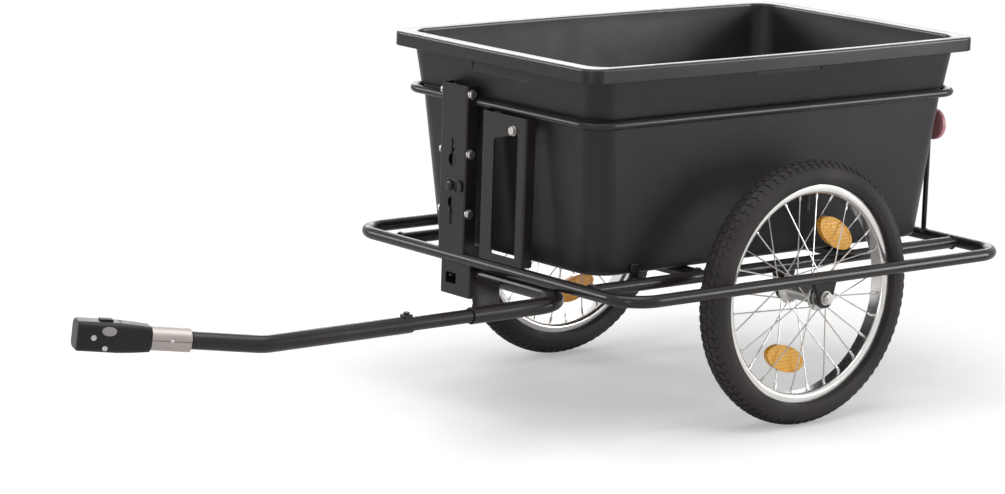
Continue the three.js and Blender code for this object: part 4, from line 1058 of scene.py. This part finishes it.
settle(joined(soften(knob, knob_bevel), stud), "clamp_knob", "clamp_screw", satin_black, "clamp_screw")
low, high, middle = box_of("clamp_nut")
nut = hex_head(Vector((high.x + play, screw_y, tow_z)), -ahead, (high.z - low.z) / 2, high.x - low.x)
settle(nut, "clamp_nut_hex", "frame", zinc_plate, "clamp_nut")

# Tow bar, rear part: one steel tube plugs through the tow box, runs left under the crossbar, bends
# forward and ends open. A flat brace closes the corner, and a thinner tube sits in its mouth.
tow_bend, tow_bend_steps = 0.068, 16
tow_wall, mouth_depth = 0.002, 0.02
brace_root_width, brace_tip_width = 0.051, 0.048
brace_lap, brace_bevel = Vector((0.0003, 0.0003, 0)), 0.0006


def open_mouth(heading, depth=mouth_depth):
    bpy.ops.mesh.edge_face_add()
    bpy.ops.mesh.inset(thickness=tow_wall * 0.3, depth=tow_wall * 0.2)
    bpy.ops.mesh.inset(thickness=tow_wall * 0.6)
    extend(heading * -depth)


def mouth_at(piece, place, heading, depth=mouth_depth):
    bpy.ops.mesh.select_mode(type="VERT")
    bpy.ops.mesh.select_all(action="DESELECT")
    close_mesh()
    for point in piece.data.vertices:
        point.select = abs((point.co - place).dot(heading)) < play
    open_mesh()
    bpy.ops.mesh.select_mode(type="EDGE")
    open_mouth(heading, depth)


start = Vector((tow_x, rear_low.y, tow_z))
tube = start_ring(start, leftward, tow_radius)
extend((0, tow_y - tow_bend - rear_low.y, 0))
bend((tow_x + tow_bend, tow_y - tow_bend, tow_z), up, -pi / 2, tow_bend_steps)
extend((rear_high.x - tow_x - tow_bend, 0, 0))
open_mouth(ahead)
mouth_at(tube, start, -leftward)
close_up()
settle(tube, "tow_rear_pipe", "tow_bar", gloss_black, "tow_rear_tube", crease=40)

brace_low, brace_high, brace_middle = box_of("tow_brace")
brace = block(brace_low - brace_lap, brace_high + brace_lap)
for corner in brace.data.vertices:
    at_far = corner.co.y > brace_middle.y
    if corner.co.x < brace_middle.x:
        corner.co.y = brace_low.y + (brace_root_width if at_far else 0)
    else:
        corner.co.y = brace_high.y
        corner.co.x = brace_high.x - (brace_tip_width if at_far else 0)
settle(soften(brace, brace_bevel, 3), "tow_brace_plate", "tow_bar", gloss_black, "tow_brace")

low, high, middle = box_of("tow_slide_tube")
slide = straight_tube((low.x, tow_y, tow_z), (high.x, tow_y, tow_z), (high.z - low.z) / 2)
settle(slide, "tow_slide_pipe", "tow_bar", gloss_black, "tow_slide_tube")

# Tow bar, front part: the same wide tube slides over the thin one, turns in and up at a knee, and
# has a small boss with a clamping screw at its rear end.
knee_reach = 0.242  # from the front tube's rear end
knee_bend, knee_steps = 0.06, 8
neck_forward = 0.092
inward_turn, upward_turn = radians(21), radians(5.4)
lap_depth = 0.012
boss_half, boss_rise, boss_length, boss_sink, boss_round = 0.0065, 0.003, 0.013, 0.6, 0.001
splice_profile = [(0.0025, -0.003), (0.0025, 0.0003), (0.0044, 0.0003), (0.0045, 0.0022), (0.0038, 0.0031),
                  (0.0016, 0.0033), (0.0014, 0.0018), (0.0004, 0.0018)]
neck_along = Vector((
    cos(upward_turn) * cos(inward_turn), -cos(upward_turn) * sin(inward_turn), sin(upward_turn)))
neck_across = Vector((sin(inward_turn), cos(inward_turn), 0))
neck_up = neck_along.cross(neck_across)
start = Vector((box_of("tow_front_tube")[0].x, tow_y, tow_z))
knee = start + ahead * knee_reach
neck_end = knee + neck_along * (neck_forward / neck_along.x)
turn_angle = ahead.angle(neck_along)
trim = knee_bend * tan(turn_angle / 2)
bend_centre = knee + (neck_along - ahead).normalized() * (knee_bend / cos(turn_angle / 2))
tube = start_ring(start, ahead, tow_radius)
extend(ahead * (knee_reach - trim))
bend(bend_centre, ahead.cross(neck_along).normalized(), turn_angle, knee_steps)
extend(neck_along * ((neck_end - knee).length - trim))
open_mouth(neck_along)
mouth_at(tube, start, -ahead, lap_depth)
close_up()
boss_top = tow_z + tow_radius + boss_rise
boss = rounded_block(
    (start.x, tow_y - boss_half, tow_z + tow_radius * boss_sink),
    (start.x + boss_length, tow_y + boss_half, boss_top), boss_round)
settle(joined(tube, boss), "tow_front_pipe", "tow_bar_front", gloss_black, "tow_front_tube", crease=40)
screw = lathe((start.x + boss_length / 2, tow_y, boss_top), up, splice_profile, screw_sides)
settle(screw, "splice_screw_head", "tow_bar_front", gloss_black, "splice_screw")

# Coupling sleeve: a bright steel sleeve with a slit along its side and one cross pin. A black plastic
# collar centres it on the tow bar's end, and its stem carries the head.
sleeve_radius, sleeve_length = 0.016, 0.054
sleeve_start, spigot_length, stem_length = 0.0026, 0.012, 0.030
sleeve_end = sleeve_start + sleeve_length
spigot_end, stem_end = sleeve_start + spigot_length, sleeve_end + stem_length
stem_radius, stem_head_radius, stem_head = 0.009, 0.0105, 0.005
slit_width, slit_depth, slit_overrun, slit_out = 0.0009, 0.002, 0.002, 0.004
collar_profile = [
    (0.0095, -0.014), (0.0097, 0.0003), (0.0117, 0.0003), (0.0120, 0.0006), (0.0120, 0.0020),
    (0.0117, 0.0023), (0.0097, 0.0023), (0.0097, spigot_end)]
sleeve_profile = [
    (0.010, spigot_end + play), (0.010, sleeve_start), (sleeve_radius - 0.0006, sleeve_start),
    (sleeve_radius, sleeve_start + 0.0006), (sleeve_radius, sleeve_end - 0.0008),
    (sleeve_radius - 0.0008, sleeve_end), (stem_radius, sleeve_end), (stem_radius, stem_end - stem_head),
    (stem_head_radius, stem_end - stem_head), (stem_head_radius, stem_end), (0.0005, stem_end)]
pin_profile = [(0.0018, 0), (0.0025, 0.0006), (0.0025, 2 * sleeve_radius + 0.0014),
               (0.0018, 2 * sleeve_radius + 0.002)]
pin_proud = 0.001
neck_turn = Matrix((neck_along, neck_across, neck_up)).transposed().to_4x4()
neck_place = Matrix.Translation(neck_end) @ neck_turn


# Pieces of the coupling are made along X at the origin, and moved to the tow bar's end here.
def settle_on_neck(piece, name, body, finish, *nodes, crease=35):
    piece.data.transform(neck_place)
    settle(piece, name, body, finish, *nodes, crease=crease)


collar = lathe((0, 0, 0), ahead, collar_profile, fine_sides)
settle_on_neck(collar, "end_collar_ring", "tow_bar_front", satin_black, "end_collar")
slit = rounded_block(
    (sleeve_start - slit_overrun, sleeve_radius - slit_depth, -slit_width / 2),
    (sleeve_end + slit_overrun, sleeve_radius + slit_out, slit_width / 2), crisp, 1)
sleeve = cut_away(lathe((0, 0, 0), ahead, sleeve_profile, smooth_sides), slit)
sleeve_steel = new_finish(
    "zinc_steel", "sleeve_steel", (0.48, 0.44, 0.42), (0.30, 0.25, 0.22), dust_amount=0.6,
    fineness=320, depth=0.00012, smoothest=0.34, roughest=0.5, metallic=1.0)
settle_on_neck(sleeve, "swivel_sleeve_pipe", "tow_bar_front", sleeve_steel, "swivel_sleeve")
pin_foot = ((sleeve_start + sleeve_end) / 2, -sleeve_radius - pin_proud, 0)
pin = lathe(pin_foot, leftward, pin_profile, small_sides)
settle_on_neck(pin, "sleeve_pin_rivet", "tow_bar_front", zinc_plate, "sleeve_pin")

# Coupling head: a two-part moulding in satin black. It widens from a round-edged neck to a square
# mouth block, with a bare oval pad on its side, a bright pin, and the steel socket for the stud.
head_start = sleeve_end + play
head_length, flare_length, head_edge, end_round = 0.100, 0.042, 0.006, 0.002
rear_half, waist_half, front_half = (0.016, 0.017), (0.0178, 0.0187), (0.019, 0.020)
side_y = front_half[0]
socket_x = head_start + 0.078
socket_radius, socket_bore, socket_depth, socket_sides = 0.0110, 0.009, 0.0250, 40
bore_mouth, bore_floor = -0.03, 0.003
parting, parting_depth = 0.0005, 0.0005
groove_x, groove_width, groove_half, groove_round = head_start + flare_length - 0.002, 0.0016, 0.015, 0.0002
groove_floor, groove_mouth = 0.0188, 0.026
head_rings = [  # place along the head, half size, and how far it is inset
    (0.0008, rear_half, 0.0006), (0.002, rear_half, 0), (flare_length / 2, waist_half, 0),
    (flare_length, front_half, 0), (head_length - 0.003, front_half, 0),
    (head_length - 0.001, front_half, 0.001), (head_length, front_half, 0.003)]
half_y, half_z, x = rear_half[0] - end_round, rear_half[1] - end_round, 0
head = start_sheet((head_start, 0, 0), half_z, half_y, head_edge, 8, turn=(0, pi / 2, 0))
for along_head, (next_y, next_z), inset in head_rings:
    next_y, next_z = next_y - inset, next_z - inset
    extend((along_head - x, 0, 0))
    bpy.ops.transform.resize(
        value=(1, next_y / half_y, next_z / half_z), center_override=(head_start + along_head, 0, 0))
    half_y, half_z, x = next_y, next_z, along_head
close_up()
cutters = [
    straight_tube(
        (socket_x, bore_mouth, 0), (socket_x, socket_depth - side_y + play, 0), socket_radius + play,
        socket_sides),
    straight_tube(
        (head_start - overrun, 0, 0), (stem_end + play, 0, 0), stem_radius + play, socket_sides),
    straight_tube(
        (stem_end - stem_head - play, 0, 0), (stem_end + play, 0, 0), stem_head_radius + play, socket_sides),
    rounded_block(
        (head_start - overrun, bore_mouth, -parting),
        (head_start + head_length + overrun, parting_depth - side_y, parting), crisp, 1),
]
cut_away(head, *cutters)
for side in (-1, 1):
    near, far = sorted((side * groove_floor, side * groove_mouth))
    cut_away(head, rounded_block(
        (groove_x, -groove_half, near), (groove_x + groove_width, groove_half, far), groove_round, 1))
soften(head, width=0.0007, angle=50)
settle_on_neck(head, "coupling_head_shell", "coupling", satin_black, "coupling_head", crease=30)

pad_half = Vector((0.0098, 0.0005, 0.0062))
pad_place = Vector((head_start + 0.0580, side_y + 0.0002, 0.0095))
pad_profile = [(0.96, -1), (1.0, 0.2), (0.94, 0.9), (0.6, 1), (0.01, 1)]  # as shares of its half size
pad = lathe((0, 0, 0), leftward, pad_profile, fine_sides)
pad.data.transform(Matrix.Translation(pad_place) @ Matrix.Diagonal((*pad_half, 1)))
bare_pad_grey = new_finish(
    "black_plastic", "bare_pad_grey", (0.33, 0.31, 0.31), (0.45, 0.43, 0.42), dust_amount=0.3,
    fineness=700, depth=0.00008, smoothest=0.3, roughest=0.42)
settle_on_neck(pad, "bare_side_pad", "coupling", bare_pad_grey)
low_screw = lathe((head_start + 0.062, side_y, -0.0135), leftward, [
    (0.0034, -0.002), (0.0034, 0.0006), (0.0026, 0.0011), (0.0005, 0.0012)], screw_sides)
settle_on_neck(low_screw, "head_screw", "coupling", zinc_plate)
socket = lathe((socket_x, -side_y, 0), leftward, [
    (socket_bore + 0.0002, 0), (socket_radius, 0), (socket_radius, socket_depth), (0.0012, socket_depth)],
    socket_sides)
cut_away(socket, straight_tube(
    (socket_x, bore_mouth, 0), (socket_x, bore_floor, 0), socket_bore, socket_sides))
settle_on_neck(socket, "socket_bush", "coupling", zinc_plate, "coupling_socket")
head_pin = lathe((socket_x, side_y, 0), leftward, [
    (0.004, -0.012), (0.004, 0.0002), (0.0037, 0.0008), (0.0022, 0.001), (0.0004, 0.001)])
settle_on_neck(head_pin, "coupling_pin_end", "coupling", zinc_plate, "coupling_pin")

# Release button: a ribbed thumb button of the same black plastic in the top of the head. It stands
# on a spring, and frees the bike's stud when it is pressed.
button_x, button_half, button_round = head_start + 0.060, Vector((0.009, 0.0065, 0)), 0.0012
button_top, button_height = front_half[1] + 0.003, 0.009
rib_count, rib_start, rib_pitch = 4, 0.004, 0.0034
rib_cut_half, rib_cut_depth, rib_cut_rise = 0.0005, 0.0007, 0.002
button = rounded_block(
    (button_x - button_half.x, -button_half.y, button_top - button_height),
    (button_x + button_half.x, button_half.y, button_top), button_round)
for index in range(rib_count):
    x = button_x - button_half.x + rib_start + index * rib_pitch
    cut_away(button, rounded_block(
        (x - rib_cut_half, -overrun, button_top - rib_cut_depth),
        (x + rib_cut_half, overrun, button_top + rib_cut_rise), crisp, 1))
settle_on_neck(button, "release_button_cap", "release_button", satin_black, "release_button", crease=25)
